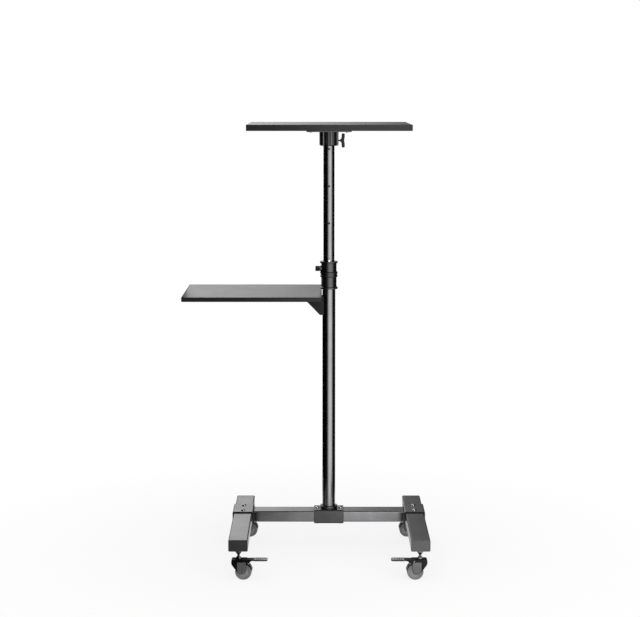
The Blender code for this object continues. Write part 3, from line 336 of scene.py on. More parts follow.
for card in (
    add_ring_card("card_front", 360.0 + FRONT_RISE[0], 360.0 + FRONT_FALL[1], fading_round),
    add_ring_card("flag_right", FRONT_FALL[1], FLAG_RIGHT_END, black),
    add_ring_card("flag_left", FLAG_LEFT_START, 360.0 + FRONT_RISE[0], black),
    add_flat_card("card_rear", (-WIDE, FAR, WALL_FOOT), (WIDE, FAR, WALL_HEAD), fading_across),
    add_flat_card("flag_rear", (-WIDE, FAR, FLAG_HEIGHT), (WIDE, FAR, WALL_FOOT), black),
    add_flat_card("flag_floor", (-WIDE, FLAG_START, FLAG_HEIGHT), (WIDE, FAR, FLAG_HEIGHT), black),
    add_flat_card("flag_ceiling", (-CEILING_HALF, -CEILING_HALF, CARD_HEIGHT),
                  (CEILING_HALF, CEILING_HALF, CARD_HEIGHT), black),
):
    print(card.name, [round(side, 2) for side in card.dimensions])

# %% [markdown]
# ## Effects that several finishes share
# Real paint, plastic and rubber are never one flat colour. Their tone drifts a little, hands and
# dust change the gloss in patches, rolled steel keeps a lengthwise grain under its paint, and powder
# coat has fine pores. One more effect paints shade into the colour near the joints between parts.
# Each effect is built once as a node group, and each finish places it with its own values. All of
# them read Object coordinates, which are metres on the cart.

# %% Group helper
def shared_effect(output, kind, **inputs):
    """Turns a function into a node group of its name. The function takes the group's nodes and
    inputs, and gives its output. Each input is named here with its first value."""
    def build(effect):
        tree = bpy.data.node_groups.new(effect.__name__, "ShaderNodeTree")
        tree.interface.new_socket("Vector", in_out="INPUT", socket_type="NodeSocketVector")
        for label, value in inputs.items():
            size = "Float" if isinstance(value, float) else {3: "Vector", 4: "Color"}[len(value)]
            socket = tree.interface.new_socket(label, in_out="INPUT", socket_type="NodeSocket" + size)
            socket.default_value = value
        tree.interface.new_socket(output, in_out="OUTPUT", socket_type="NodeSocket" + kind)
        nodes = Nodes(tree)
        nodes.add("NodeGroupOutput", {output: effect(nodes, nodes.add("NodeGroupInput").outputs)})
        return tree

    return build


# %% Uneven tone
@shared_effect("Color", "Color", Tone=(0.5, 0.5, 0.5, 1.0), Scale=40.0, Depth=0.2)
def uneven_tone(nodes, given):
    """A colour that drifts lighter and darker by a share, in soft clouds with fine detail."""
    clouds = nodes.noise(given["Vector"], given["Scale"], 5.0)
    least = nodes.math("SUBTRACT", 1.0, given["Depth"])
    most = nodes.math("ADD", 1.0, given["Depth"])
    return nodes.scaled(given["Tone"], nodes.ranged(clouds, 0.25, 0.75, least, most))


# %% Handled gloss
@shared_effect("Roughness", "Float", Roughness=0.4, Scale=30.0, Depth=0.08)
def handled_gloss(nodes, given):
    """A roughness with smudges: wide patches from handling and small specks of dust."""
    patches = nodes.noise(given["Vector"], given["Scale"], 3.0, Distortion=0.6)
    specks = nodes.add("TexVoronoi", {"Vector": given["Vector"], "Scale": 900.0}).outputs["Distance"]
    both = nodes.math("ADD", patches, nodes.ranged(specks, 0.10, 0.22, 0.5, 0.0))
    swing = nodes.add("Math", {0: nodes.math("SUBTRACT", both, 0.5), 1: given["Depth"],
                               2: given["Roughness"]}, operation="MULTIPLY_ADD", use_clamp=True)
    return swing.outputs[0]


# %% Long grain
@shared_effect("Lines", "Float", Stretch=(1.0, 1.0, 1.0), Scale=900.0)
def long_grain(nodes, given):
    """Fine lines from 0 to 1, long where Stretch is small. It serves as tone and as height."""
    drawn = nodes.vectors("MULTIPLY", given["Vector"], given["Stretch"])
    return nodes.noise(drawn, given["Scale"], 4.0, Roughness=0.7)


# %% Powder pores
@shared_effect("Height", "Float", Scale=1200.0)
def powder_pores(nodes, given):
    """The height of powder coat or moulded texture: small domes with a finer grit on them."""
    domes = nodes.add("TexVoronoi", {"Vector": given["Vector"], "Scale": given["Scale"]},
                      feature="SMOOTH_F1").outputs["Distance"]
    return nodes.math("MULTIPLY_ADD", nodes.noise(given["Vector"], given["Scale"], 6.0), 0.6, domes)


# %% Worn edges
@shared_effect("Mask", "Float", Radius=0.001, Breakup=250.0, Amount=0.6)
def worn_edges(nodes, given):
    """A mask that is 1 on sharp edges, broken up by noise, where paint rubs thin."""
    rounded = nodes.add("Bevel", {"Radius": given["Radius"]}, samples=4).outputs[0]
    alike = nodes.vectors("DOT_PRODUCT", rounded, nodes.add("NewGeometry").outputs["True Normal"])
    chips = nodes.ranged(nodes.noise(given["Vector"], given["Breakup"], 4.0), 0.42, 0.62)
    worn = nodes.math("MULTIPLY", nodes.ranged(alike, 0.97, 0.80), chips)
    return nodes.math("MULTIPLY", worn, given["Amount"])


# %% Corner shade
@shared_effect("Level", "Float", Axis=(1.0, 0.0, 0.0), Place=0.0, Reach=0.01, Depth=0.5)
def painted_joint_shade(nodes, given):
    """A level that sinks towards one place along an axis: painted shade where two parts meet."""
    along_axis = nodes.vectors("DOT_PRODUCT", given["Vector"], given["Axis"])
    distance = nodes.math("ABSOLUTE", nodes.math("SUBTRACT", along_axis, given["Place"]))
    least = nodes.math("SUBTRACT", 1.0, given["Depth"])
    return nodes.ranged(distance, 0.0, given["Reach"], least, 1.0, interpolation_type="SMOOTHSTEP")


print("shared effects:", sorted(group.name for group in bpy.data.node_groups))

# %% [markdown]
# ## A finish in layers
# Most finishes on the cart are the same stack with other values: a tone that drifts, lines of
# grain in it, edges where it wears, a gloss with smudges, and a fine relief. One function lays
# that stack, so each finish below reads as a short list of what makes it different.

# %% Layered finish
MIX_FACTOR, MIX_A, MIX_B, MIX_RESULT = 0, 6, 7, 2    # a Mix node's sockets for colours


def grey(level):
    return (level, level, level * 1.02, 1.0)


def layered_finish(name, tone, gloss, metallic=0.0, specular=0.5, drift=(40.0, 0.15), smudge=(30.0, 0.08),
                   grain=None, relief=(1400.0, 0.00002), wear=None, shades=()):
    """A material. drift and smudge are (scale, depth), relief is (scale, height in metres), grain is
    (stretch, scale, depth), wear is (radius, amount, bare tone), a painted shade is (axis, place, reach,
    depth)."""
    material, nodes = new_material(name)
    shader = material.node_tree.nodes["Principled BSDF"]
    shader.inputs["Metallic"].default_value = metallic
    shader.inputs["Specular IOR Level"].default_value = specular
    place = nodes.place()
    colour = nodes.group(uneven_tone, Vector=place, Tone=grey(tone), Scale=drift[0], Depth=drift[1])
    height = nodes.group(powder_pores, Vector=place, Scale=relief[0])
    if grain:
        stretch, scale, depth = grain
        lines = nodes.group(long_grain, Vector=place, Stretch=stretch, Scale=scale)
        colour = nodes.scaled(colour, nodes.ranged(lines, 0.3, 0.7, 1.0 - depth, 1.0 + depth))
        height = nodes.math("MULTIPLY_ADD", lines, 0.5, height)
    if wear:
        radius, amount, bare = wear
        mask = nodes.group(worn_edges, Vector=place, Radius=radius, Amount=amount)
        colour = nodes.add("Mix", {MIX_FACTOR: mask, MIX_A: colour, MIX_B: grey(bare)},
                           data_type="RGBA").outputs[MIX_RESULT]
    # Painted shade: each entry darkens the colour towards a place along an axis.
    for axis, where, reach, depth in shades:
        colour = nodes.scaled(colour, nodes.group(painted_joint_shade, Vector=place, Axis=axis, Place=where,
                                                  Reach=reach, Depth=depth))
    rough = nodes.group(handled_gloss, Vector=place, Roughness=gloss, Scale=smudge[0], Depth=smudge[1])
    bump = nodes.add("Bump", {"Strength": 1.0, "Distance": relief[1], "Height": height})
    for socket, value in (("Base Color", colour), ("Roughness", rough), ("Normal", bump.outputs[0])):
        material.node_tree.links.new(value, shader.inputs[socket])
    print("finish", name)
    return material

# %% [markdown]
# ## How the pieces are modelled
# Each piece starts from a primitive at its real size and place, as by hand: a block for boards
# and tubes, a cylinder for poles, or one point that is extruded along an outline and then filled
# or spun. Edges and faces are then chosen by where they lie or face, and bevelled, inset or
# extruded. Places come from the model's own boxes, so a piece always sits where its part is.

# %% Modelling helpers
from contextlib import contextmanager

OVERRUN = 0.004                  # how far a cutter reaches past the face that it opens
HAIR = 0.0001                    # a distance that is enough to tell two faces apart
SAME_PLACE = 1e-6                # points that are nearer than this are one


def deselect():
    bpy.ops.object.select_all(action="DESELECT")


def activate(piece):
    deselect()
    piece.select_set(True)
    bpy.context.view_layer.objects.active = piece


@contextmanager
def editing(piece):
    activate(piece)
    bpy.ops.object.mode_set(mode="EDIT")
    yield
    bpy.ops.object.mode_set(mode="OBJECT")


# %% Choosing faces and edges
def pick(kind, wanted):
    """Selects only the FACE, EDGE or VERT parts that the test takes. The test gets a part's middle,
    and its normal, or for an edge its direction."""
    bpy.ops.mesh.select_mode(type=kind)
    bpy.ops.mesh.select_all(action="DESELECT")
    mesh = bpy.context.edit_object.data
    shape = bmesh.from_edit_mesh(mesh)
    for part in {"FACE": shape.faces, "EDGE": shape.edges, "VERT": shape.verts}[kind]:
        if kind == "FACE":
            middle, way = part.calc_center_median(), part.normal
        elif kind == "EDGE":
            ends = [vertex.co for vertex in part.verts]
            middle, way = (ends[0] + ends[1]) / 2.0, (ends[1] - ends[0]).normalized()
        else:
            middle, way = part.co, part.normal
        if wanted(middle, way):
            part.select_set(True)
    bmesh.update_edit_mesh(mesh)


def along(axis):
    """A test for edges or normals that lie along an axis, in either direction."""
    return lambda middle, way: abs(way["XYZ".index(axis)]) > 0.99


# %% Steps in edit mode
def bevel(width, segments):
    bpy.ops.mesh.bevel(offset_type="OFFSET", offset=width, segments=segments, affect="EDGES")


def inset(thickness, depth=0.0):
    bpy.ops.mesh.inset(thickness=thickness, depth=depth)


def round_edges(axis, width, segments):
    """Rounds the edges that run along an axis."""
    pick("EDGE", along(axis))
    bevel(width, segments)


def round_rims(wanted, width, segments):
    """Rounds the edges round the faces that the test takes."""
    pick("FACE", wanted)
    bpy.ops.mesh.region_to_loop()
    bevel(width, segments)


def raise_faces(step):
    bpy.ops.mesh.extrude_region_move(TRANSFORM_OT_translate={"value": step})


# %% Blocks and cylinders
def block(name, low, high):
    """A cube added between two corners, with its place in its mesh."""
    low, high = Vector(low), Vector(high)
    deselect()
    bpy.ops.mesh.primitive_cube_add(size=1.0, location=(low + high) / 2.0, scale=high - low)
    return settled(name)


def settled(name):
    """Names the new object, and puts its place, turn and size into its mesh."""
    piece = bpy.context.object
    piece.name = name
    activate(piece)
    bpy.ops.object.transform_apply(location=True, rotation=True, scale=True)
    return piece


LYING = {"X": (0.0, math.pi / 2.0, 0.0), "Y": (math.pi / 2.0, 0.0, 0.0), "Z": (0.0, 0.0, 0.0)}


def spot(axis, across, up, run):
    """A point given in the plane square to an axis, and along that axis."""
    return Vector({"X": (run, across, up), "Y": (across, run, up), "Z": (across, up, run)}[axis])


def cylinder(name, radius, start, end, axis="Z", centre=(0.0, 0.0), sides=32, caps="NGON"):
    deselect()
    bpy.ops.mesh.primitive_cylinder_add(
        vertices=sides, radius=radius, depth=abs(end - start), end_fill_type=caps,
        location=spot(axis, centre[0], centre[1], (start + end) / 2.0), rotation=LYING[axis],
    )
    return settled(name)


# %% Outlines, plates and spun solids
def chain(name, points, closed):
    """A line of edges: one point, extruded from place to place, and joined up if it is closed."""
    deselect()
    bpy.ops.mesh.primitive_plane_add(size=0.01, location=points[0])
    line = settled(name)
    with editing(line):
        bpy.ops.mesh.select_mode(type="VERT")
        bpy.ops.mesh.select_all(action="SELECT")
        bpy.ops.mesh.merge(type="CENTER")
        for here, there in zip(points, points[1:]):
            step = Vector(there) - Vector(here)
            bpy.ops.mesh.extrude_vertices_move(TRANSFORM_OT_translate={"value": step})
        if closed:
            ends = [Vector(points[0]), Vector(points[-1])]
            pick("VERT", lambda place, _: min((place - end).length for end in ends) < SAME_PLACE)
            bpy.ops.mesh.edge_face_add()
    return line


def plate(name, outline, axis, start, end):
    """A flat solid: an outline in the plane square to the axis, filled and extruded along it."""
    solid = chain(name, [spot(axis, a, b, start) for a, b in outline], True)
    with editing(solid):
        bpy.ops.mesh.select_all(action="SELECT")
        bpy.ops.mesh.edge_face_add()
        raise_faces(spot(axis, 0.0, 0.0, end - start))
        face_outward()
    return solid


def face_outward():
    bpy.ops.mesh.select_all(action="SELECT")
    bpy.ops.mesh.remove_doubles(threshold=SAME_PLACE)
    bpy.ops.mesh.normals_make_consistent(inside=False)


def turned(name, profile, axis="Z", centre=(0.0, 0.0), steps=48, ring=False):
    """A solid spun from half its section, given as (radius, place along the axis)."""
    points = [spot(axis, centre[0] + radius, centre[1], place) for radius, place in profile]
    solid = chain(name, points, ring)
    with editing(solid):
        bpy.ops.mesh.select_all(action="SELECT")
        bpy.ops.mesh.spin(steps=steps, angle=2.0 * math.pi, center=spot(axis, *centre, 0.0),
                          axis=spot(axis, 0.0, 0.0, 1.0))
        face_outward()
    return solid


def both_halves(half, middle):
    """A section from the half that lies before the middle, which is mirrored to the other side."""
    section = half + [(radius, -place) for radius, place in reversed(half)]
    return [(radius, middle + place) for radius, place in section]


# %% Modifiers, cuts and welds
def apply_modifier(piece, kind, **settings):
    modifier = piece.modifiers.new(kind.lower(), kind)
    for key, value in settings.items():
        setattr(modifier, key, value)
    activate(piece)
    bpy.ops.object.modifier_apply(modifier=modifier.name)
    return piece


FINE_ROUND = 0.0005              # on the edges of pressed and moulded parts


def soften(piece, width, segments=2, angle=40.0):
    """Rounds every edge that is sharper than the angle."""
    return apply_modifier(piece, "BEVEL", width=width, segments=segments, limit_method="ANGLE",
                          angle_limit=math.radians(angle), use_clamp_overlap=True)


def cut(piece, *cutters):
    for cutter in cutters:
        apply_modifier(piece, "BOOLEAN", operation="DIFFERENCE", solver="EXACT", object=cutter)
        bpy.data.objects.remove(cutter)
    return piece


def weld(piece, *others):
    """Joins solids that overlap into one closed solid."""
    for other in others:
        apply_modifier(piece, "BOOLEAN", operation="UNION", solver="EXACT", object=other)
        bpy.data.objects.remove(other)
    return piece


def gather(piece, *others):
    """Joins meshes into one object without merging their faces."""
    deselect()
    for one in (piece, *others):
        one.select_set(True)
    bpy.context.view_layer.objects.active = piece
    bpy.ops.object.join()
    return piece


def smooth(piece, angle=35.0):
    """Smooth shading over small angles, with flat faces kept flat beside their rounded edges."""
    activate(piece)
    bpy.ops.object.shade_smooth_by_angle(angle=math.radians(angle))
    return apply_modifier(piece, "WEIGHTED_NORMAL", keep_sharp=True, weight=100)


def copied(piece, name, place):
    """A copy with its own mesh, moved by a matrix."""
    twin = piece.copy()
    twin.data = piece.data.copy()
    twin.name = name
    bpy.context.scene.collection.objects.link(twin)
    twin.data.transform(place)
    return twin


# %% Painting and dressing a piece
def paint(piece, *tests):
    """A face that passes the first test takes the second finish, and one that passes the second test
    takes the third. The other faces take the first finish."""
    for face in piece.data.polygons:
        passed = [number for number, test in enumerate(tests, 1) if test(face)]
        face.material_index = passed[0] if passed else 0
    return piece


BODY_OF = {node: piece["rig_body"] for node, piece in frame["nodes"].items()}


def dress(piece, node, *finishes):
    """The piece gets its finish, moves with its body and stands for its part, which is hidden."""
    if finishes:
        painted = [face.material_index for face in piece.data.polygons]
        piece.data.materials.clear()
        for finish in finishes:
            piece.data.materials.append(finish)
        piece.data.polygons.foreach_set("material_index", painted)
    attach(piece, BODY_OF[node])
    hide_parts(node)
    return piece


def report(*pieces):
    for piece in pieces:
        size = [round(1000.0 * side, 1) for side in piece.dimensions]
        print(piece.name, size, "mm,", len(piece.data.polygons), "faces")


# %% [markdown]
# ## The two trays
# Each tray is a board with black laminate on both faces and a thin band of the same black round
# its edge. A block gives the board, its four upright edges are rounded, and then the rims. Two
# narrow insets just inside the top rim leave the hairline joint where the laminate meets the band.

# %% Laminate finish
LAMINATE = layered_finish(
    "black_laminate", tone=0.026, gloss=0.36, specular=0.40, drift=(14.0, 0.18), smudge=(9.0, 0.10),
    grain=((0.04, 1.0, 1.0), 1100.0, 0.10), relief=(1500.0, 0.000012),
)
EDGE_BAND = layered_finish(
    "laminate_edge_band", tone=0.011, gloss=0.50, specular=0.20, drift=(30.0, 0.22), smudge=(20.0, 0.10),
    grain=((0.03, 0.03, 1.0), 1400.0, 0.22), relief=(1700.0, 0.000015),
)


# %% Trays
BOARD_CORNER = 0.004
BOARD_RIM = 0.0012
JOINT_INSET = 0.0006             # from the rim's round to the joint
JOINT = 0.0003                   # its width and its depth
LEAST_FLAT = 0.01                # square metres: only a board's top and underside are as large


def make_board(name, node):
    low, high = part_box(node)
    board = block(name, low, high)
    with editing(board):
        round_edges("Z", BOARD_CORNER, 5)
        round_rims(along("Z"), BOARD_RIM, 4)
        for side in (1.0, -1.0):
            pick("FACE", lambda middle, way: way.z * side > 0.999)
            inset(JOINT_INSET)
            inset(JOINT / 2.0, -JOINT)
            inset(JOINT / 2.0, JOINT)
    paint(smooth(board), lambda face: face.area < LEAST_FLAT)
    return dress(board, node, LAMINATE, EDGE_BAND)


report(make_board("top_tray_board", "top_tray"), make_board("side_tray_board", "lower_tray"))

# %% [markdown]
# ## Paint on the base frame
# The legs, the crossbar and the saddles are steel with a satin black powder coat. In the
# photograph their tops mirror a bright studio in soft grey, so the coat acts as a dark, slightly
# rough mirror with the rolled grain of the tube under it. The sleeve has a duller coat. Shade is
# also painted into these colours: near-black rounded edges, darkening where the saddles meet the
# legs and the bar, and a darker tone on the sleeve's sides than on its top.

# %% Frame paint
LENGTHWISE_Y = (1.0, 0.03, 1.0)
LENGTHWISE_X = (0.03, 1.0, 1.0)
PAINT_WEAR = (0.0008, 0.35, 0.30)


def frame_paint(name, tone, gloss, stretch, shades=()):
    return layered_finish(
        name, tone=tone, gloss=gloss, metallic=1.0, drift=(24.0, 0.14), smudge=(16.0, 0.10),
        grain=(stretch, 1000.0, 0.10), relief=(1500.0, 0.000010), wear=PAINT_WEAR, shades=shades,
    )


saddle_low, saddle_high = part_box("saddle_left")
bar_low, bar_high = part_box("crossbar")
# Painted shade: the legs' colour darkens towards the saddles' front and back edges.
LEG_COAT_AND_SHADE = frame_paint(
    "satin_black_leg_coat_and_shade", 0.145, 0.30, LENGTHWISE_Y,
    [((0.0, 1.0, 0.0), place, 0.0045, 0.9) for place in (saddle_low.y, saddle_high.y)],
)
BAR_PAINT = frame_paint("satin_black_bar_paint", 0.165, 0.32, LENGTHWISE_X)
# Painted shade: a slightly darker copy of the bar's paint for its front faces, darkening towards both ends
# next to the saddles.
BAR_FRONT_COAT_AND_SHADE = frame_paint(
    "satin_black_bar_front_coat_and_shade", 0.155, 0.32, LENGTHWISE_X,
    [((1.0, 0.0, 0.0), place, 0.022, 0.97) for place in (bar_low.x, bar_high.x)],
)
SADDLE_PAINT = frame_paint("satin_black_saddle_paint", 0.145, 0.32, LENGTHWISE_Y)
# Painted shade: the sleeve's sides take this darker coat, while its top takes the lighter saddle paint.
SLEEVE_SIDE_COAT_AND_SHADE = frame_paint("dull_black_sleeve_side_coat_and_shade", 0.060, 0.42, LENGTHWISE_X)
# Painted shade: a near-black paint for the rounded long edges of the tubes and the saddles' cut edges.
PAINTED_EDGE_SHADE = layered_finish(
    "painted_dark_edge_shade", tone=0.008, gloss=0.45, specular=0.30, drift=(60.0, 0.20), smudge=(40.0, 0.12),
    relief=(1500.0, 0.000010), wear=(0.0006, 0.25, 0.10),
)

# %% [markdown]
# ## Square tubes
# A leg or a crossbar is a rolled tube: flat sides, four rounded corners and an even wall. A block
# with bevelled long edges gives the outside. Its ends are deleted and Solidify adds the wall, so
# the mouths are real. The sleeve round the crossbar's middle is the same shape, short and thick.

# %% Legs, crossbar and sleeve
TUBE_CORNER = 0.003
TUBE_WALL = 0.0015
TUBE_RIM = 0.0002
SLEEVE_CORNER = 0.0050
SLEEVE_WALL = 0.0035
SLEEVE_RIM = 0.0007


def square_tube(name, node, axis, corner, wall, rim):
    tube = block(name, *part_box(node))
    with editing(tube):
        round_edges(axis, corner, 5)
        pick("FACE", along(axis))
        bpy.ops.mesh.delete(type="FACE")
    apply_modifier(tube, "SOLIDIFY", thickness=wall, offset=-1.0, use_even_offset=True)
    soften(tube, rim)
    return smooth(tube)


def on_corner(axis):
    """A test for the rounded long edges, which take a near-black paint as painted shade."""
    def test(face):
        sides = [abs(part) for part in face.normal]
        return sides["XYZ".index(axis)] < 0.5 and max(sides) < 0.985

    return test


for side in ("left", "right"):
    leg = square_tube("leg_tube_" + side, "leg_" + side, "Y", TUBE_CORNER, TUBE_WALL, TUBE_RIM)
    report(dress(paint(leg, on_corner("Y")), "leg_" + side, LEG_COAT_AND_SHADE, PAINTED_EDGE_SHADE))
bar = square_tube("crossbar_tube", "crossbar", "X", TUBE_CORNER, TUBE_WALL, TUBE_RIM)
sleeve = square_tube("sleeve_tube", "base_sleeve", "X", SLEEVE_CORNER, SLEEVE_WALL, SLEEVE_RIM)
# The bar's front faces take the copy with painted shade.
paint(bar, on_corner("X"), lambda face: face.normal.y < -0.99)
# The sleeve's top takes the lighter saddle paint and its sides the darker coat: a painted difference of
# light between top and sides.
paint(sleeve, on_corner("X"), lambda face: face.normal.z > 0.99)
report(dress(bar, "crossbar", BAR_PAINT, PAINTED_EDGE_SHADE, BAR_FRONT_COAT_AND_SHADE),
       dress(sleeve, "base_sleeve", SLEEVE_SIDE_COAT_AND_SHADE, PAINTED_EDGE_SHADE, SADDLE_PAINT))

# %% [markdown]
# ## Leg caps
# A moulded cap closes each leg's mouth. Its face has eased edges and a panel that lies a little
# lower, and a plug behind it grips the tube from inside. One cap is made at the front left and
# copied. At the rear the copy is turned half way round, because a cap looks outward.

# %% Black moulding finish
MOULDED_BLACK = layered_finish(
    "moulded_black_plastic", tone=0.002, gloss=0.30, specular=0.62, drift=(60.0, 0.20), smudge=(40.0, 0.12),
    relief=(1800.0, 0.000010), wear=(0.0006, 0.25, 0.09),
)
CAP_PLASTIC = layered_finish(
    "leg_cap_plastic", tone=0.030, gloss=0.50, specular=0.45, drift=(45.0, 0.20), smudge=(40.0, 0.12),
    relief=(1500.0, 0.000020), wear=(0.0006, 0.30, 0.10),
)


# %% Leg caps
CAP_RIM = 0.0012
CAP_PLATE = 0.003
PANEL_INSET = 0.0010
PANEL_STEP = 0.0005
PLUG_INSET = 0.0018


def make_leg_cap(name, node):
    low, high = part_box(node)
    cap = block(name, low, (high.x, low.y + CAP_PLATE, high.z))
    with editing(cap):
        round_edges("Y", TUBE_CORNER, 5)
        round_rims(lambda middle, way: way.y < -0.99, CAP_RIM, 4)
        pick("FACE", lambda middle, way: way.y < -0.999)
        inset(PANEL_INSET)
        inset(PANEL_STEP, -PANEL_STEP)
        pick("FACE", lambda middle, way: way.y > 0.99)
        inset(PLUG_INSET)
        raise_faces(Vector((0.0, high.y - low.y - CAP_PLATE, 0.0)))
    return smooth(cap)


def half_turn(about):
    """Turns half way round an upright axis."""
    return Matrix.Translation(about) @ Matrix.Rotation(math.pi, 4, "Z") @ Matrix.Translation(-about)


def middle_of(node):
    low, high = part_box(node)
    return (low + high) / 2.0


def move_between(first, node):
    """The move from one part's middle to another's."""
    return Matrix.Translation(middle_of(node) - middle_of(first))


first_cap = make_leg_cap("leg_cap_moulding_front_left", "leg_cap_front_left")
for end in ("front_right", "rear_left", "rear_right"):
    cap_place = move_between("leg_cap_front_left", "leg_cap_" + end)
    if end.startswith("rear"):
        cap_place = half_turn(middle_of("leg_cap_" + end)) @ cap_place
    cap = copied(first_cap, "leg_cap_moulding_" + end, cap_place)
    dress(cap, "leg_cap_" + end, CAP_PLASTIC)
report(dress(first_cap, "leg_cap_front_left", CAP_PLASTIC))

# %% [markdown]
# ## Saddles and welds
# A saddle is a steel plate bent over the leg like a staple. Three faces of a block are removed,
# the two bends are rounded, and Solidify gives the plate its thickness. The crossbar's ends are
# welded to the saddles, and the weld shows as a low uneven bead round the tube.

# %% Saddles
SADDLE_PLATE = 0.003
SADDLE_BEND = 0.0034


def make_saddle(name, node):
    low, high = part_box(node)
    saddle = block(name, low, high)
    with editing(saddle):
        pick("FACE", lambda middle, way: abs(way.y) > 0.99 or way.z < -0.99)
        bpy.ops.mesh.delete(type="FACE")
        pick("EDGE", lambda middle, way: abs(way.y) > 0.99 and middle.z > high.z - HAIR)
        bevel(SADDLE_BEND, 6)
    apply_modifier(saddle, "SOLIDIFY", thickness=SADDLE_PLATE, offset=-1.0, use_even_offset=True)
    soften(saddle, FINE_ROUND)
    return smooth(saddle)


first_saddle = make_saddle("saddle_plate_left", "saddle_left")
# The saddle's cut edges take the near-black painted shade.
paint(first_saddle, lambda face: abs(face.normal.y) > 0.5)
second_saddle = copied(first_saddle, "saddle_plate_right", move_between("saddle_left", "saddle_right"))
for saddle, node in ((first_saddle, "saddle_left"), (second_saddle, "saddle_right")):
    report(dress(saddle, node, SADDLE_PAINT, PAINTED_EDGE_SHADE))


# %% Weld beads
WELD_PAINT = layered_finish(
    "painted_weld", tone=0.060, gloss=0.38, metallic=1.0, drift=(300.0, 0.30), smudge=(120.0, 0.15),
    relief=(900.0, 0.00006), wear=(0.0006, 0.3, 0.25),
)
BEAD_REACH = 0.0026
BEAD_RISE = 0.0006
BEAD_THICKNESS = 0.0014
BEAD_CUTS = 11
RIPPLE_SIZE = 0.0022
RIPPLE_STRENGTH = 0.0007


def make_weld(name, axis_place, outward):
    """A bead in the corner between the crossbar and a saddle. outward points along the bar."""
    start, end = sorted((axis_place, axis_place + outward * BEAD_REACH))
    bead = block(name, (start, bar_low.y - BEAD_RISE, bar_low.z - BEAD_RISE),
                 (end, bar_high.y + BEAD_RISE, bar_high.z + BEAD_RISE))
    with editing(bead):
        round_edges("X", TUBE_CORNER + BEAD_RISE, 4)
        pick("FACE", along("X"))
        bpy.ops.mesh.delete(type="FACE")
        bpy.ops.mesh.select_all(action="SELECT")
        bpy.ops.mesh.subdivide(number_cuts=BEAD_CUTS, smoothness=0.0)
    apply_modifier(bead, "SOLIDIFY", thickness=BEAD_THICKNESS, offset=0.0, use_even_offset=True)
    ripple = bpy.data.textures.new("weld_ripple", "CLOUDS")
    ripple.noise_scale = RIPPLE_SIZE
    apply_modifier(bead, "DISPLACE", texture=ripple, texture_coords="LOCAL", strength=RIPPLE_STRENGTH)
    apply_modifier(bead, "SMOOTH", factor=0.5, iterations=2)
    return smooth(bead, 60.0)


for side, place, outward in (("left", bar_low.x, 1.0), ("right", bar_high.x, -1.0)):
    bead = make_weld("weld_bead_" + side, place, outward)
    bead.data.materials.append(WELD_PAINT)
    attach(bead, "frame")
    report(bead)

# %% [markdown]
# ## Frame bolts
# Six round-headed bolts hold the saddles to the legs and the sleeve to the crossbar. A domed head
# is spun from its section and gets a hexagon socket, the shank runs down through the tubes, and a
# nut with bevelled corners closes it from below. One bolt is made for the saddles and one for the
# sleeve, which differ in the shank's length only, and the others are copies.

# %% Bolt finish
BOLT_METAL = layered_finish(
    "polished_dark_bolt", tone=0.42, gloss=0.20, metallic=1.0, drift=(200.0, 0.20), smudge=(160.0, 0.12),
    relief=(2600.0, 0.000006), wear=(0.0004, 0.4, 0.7),
)


# %% Frame bolts
BOLT_HEAD_RADIUS = 0.0058
BOLT_HEAD_HEIGHT = 0.0036
BOLT_SHANK_RADIUS = 0.0030
BOLT_LIP = 0.0008
SHANK_CHAMFER = 0.0005
SOCKET_WIDTH = 0.0032
SOCKET_DEPTH = 0.0020
HEX_REACH = math.cos(math.pi / 6.0)      # half a hexagon's width, as a share of its corners' radius
NUT_WIDTH = 0.0100
NUT_HEIGHT = 0.0050
BOLT_TAIL = 0.0020


def dome(radius, height, lip, steps=8):
    """The section of a round head, from its rim at the seat to the middle of its crown."""
    section = [(radius, 0.0), (radius, lip)]
    for step in range(1, steps + 1):
        turn = math.pi / 2.0 * step / steps
        section.append((radius * math.cos(turn), lip + (height - lip) * math.sin(turn)))
    section[-1] = (0.0, height)
    return section


def hex_nut(name, width, bottom, top, centre):
    nut = cylinder(name, width / 2.0 / HEX_REACH, bottom, top, "Z", centre, 6)
    soften(nut, FINE_ROUND, angle=50.0)
    return nut


def make_frame_bolt(name, node):
    low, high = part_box(node)
    centre = middle_of(node).xy
    seat = high.z - BOLT_HEAD_HEIGHT
    head = dome(BOLT_HEAD_RADIUS, BOLT_HEAD_HEIGHT, BOLT_LIP)
    section = [(0.0, low.z), (BOLT_SHANK_RADIUS - SHANK_CHAMFER, low.z),
               (BOLT_SHANK_RADIUS, low.z + SHANK_CHAMFER), (BOLT_SHANK_RADIUS, seat)]
    section += [(radius, seat + rise) for radius, rise in head]
    bolt = turned(name, section, "Z", centre, 40)
    cut(bolt, cylinder("recess", SOCKET_WIDTH / 2.0 / HEX_REACH, high.z - SOCKET_DEPTH,
                       high.z + OVERRUN, "Z", centre, 6))
    bottom = low.z + BOLT_TAIL
    weld(bolt, hex_nut("nut", NUT_WIDTH, bottom, bottom + NUT_HEIGHT, centre))
    return smooth(bolt, 40.0)


first_bolts = {}
for node in sorted(name for name in frame["nodes"] if name.startswith(("saddle_bolt_", "sleeve_bolt_"))):
    kind = node.split("_bolt_")[0]
    if kind not in first_bolts:
        bolt = make_frame_bolt(node + "_domed", node)
        first_bolts[kind] = (bolt, node)
    else:
        first, first_node = first_bolts[kind]
        bolt = copied(first, node + "_domed", move_between(first_node, node))
    report(dress(bolt, node, BOLT_METAL))

# %% [markdown]
# ## The two poles
# The poles are drawn steel tube with gloss black paint. Each is a cylinder of many sides without
# ends, and Solidify gives it its wall. The upper pole has a row of round holes, one every 100 mm,
# that the height pin enters. A cylinder is cut through its front wall for each, and their rims
# are softened so that they catch a fine line of light. The lower pole has holes at the left for
# the knob's screw and the bracket's bolts.

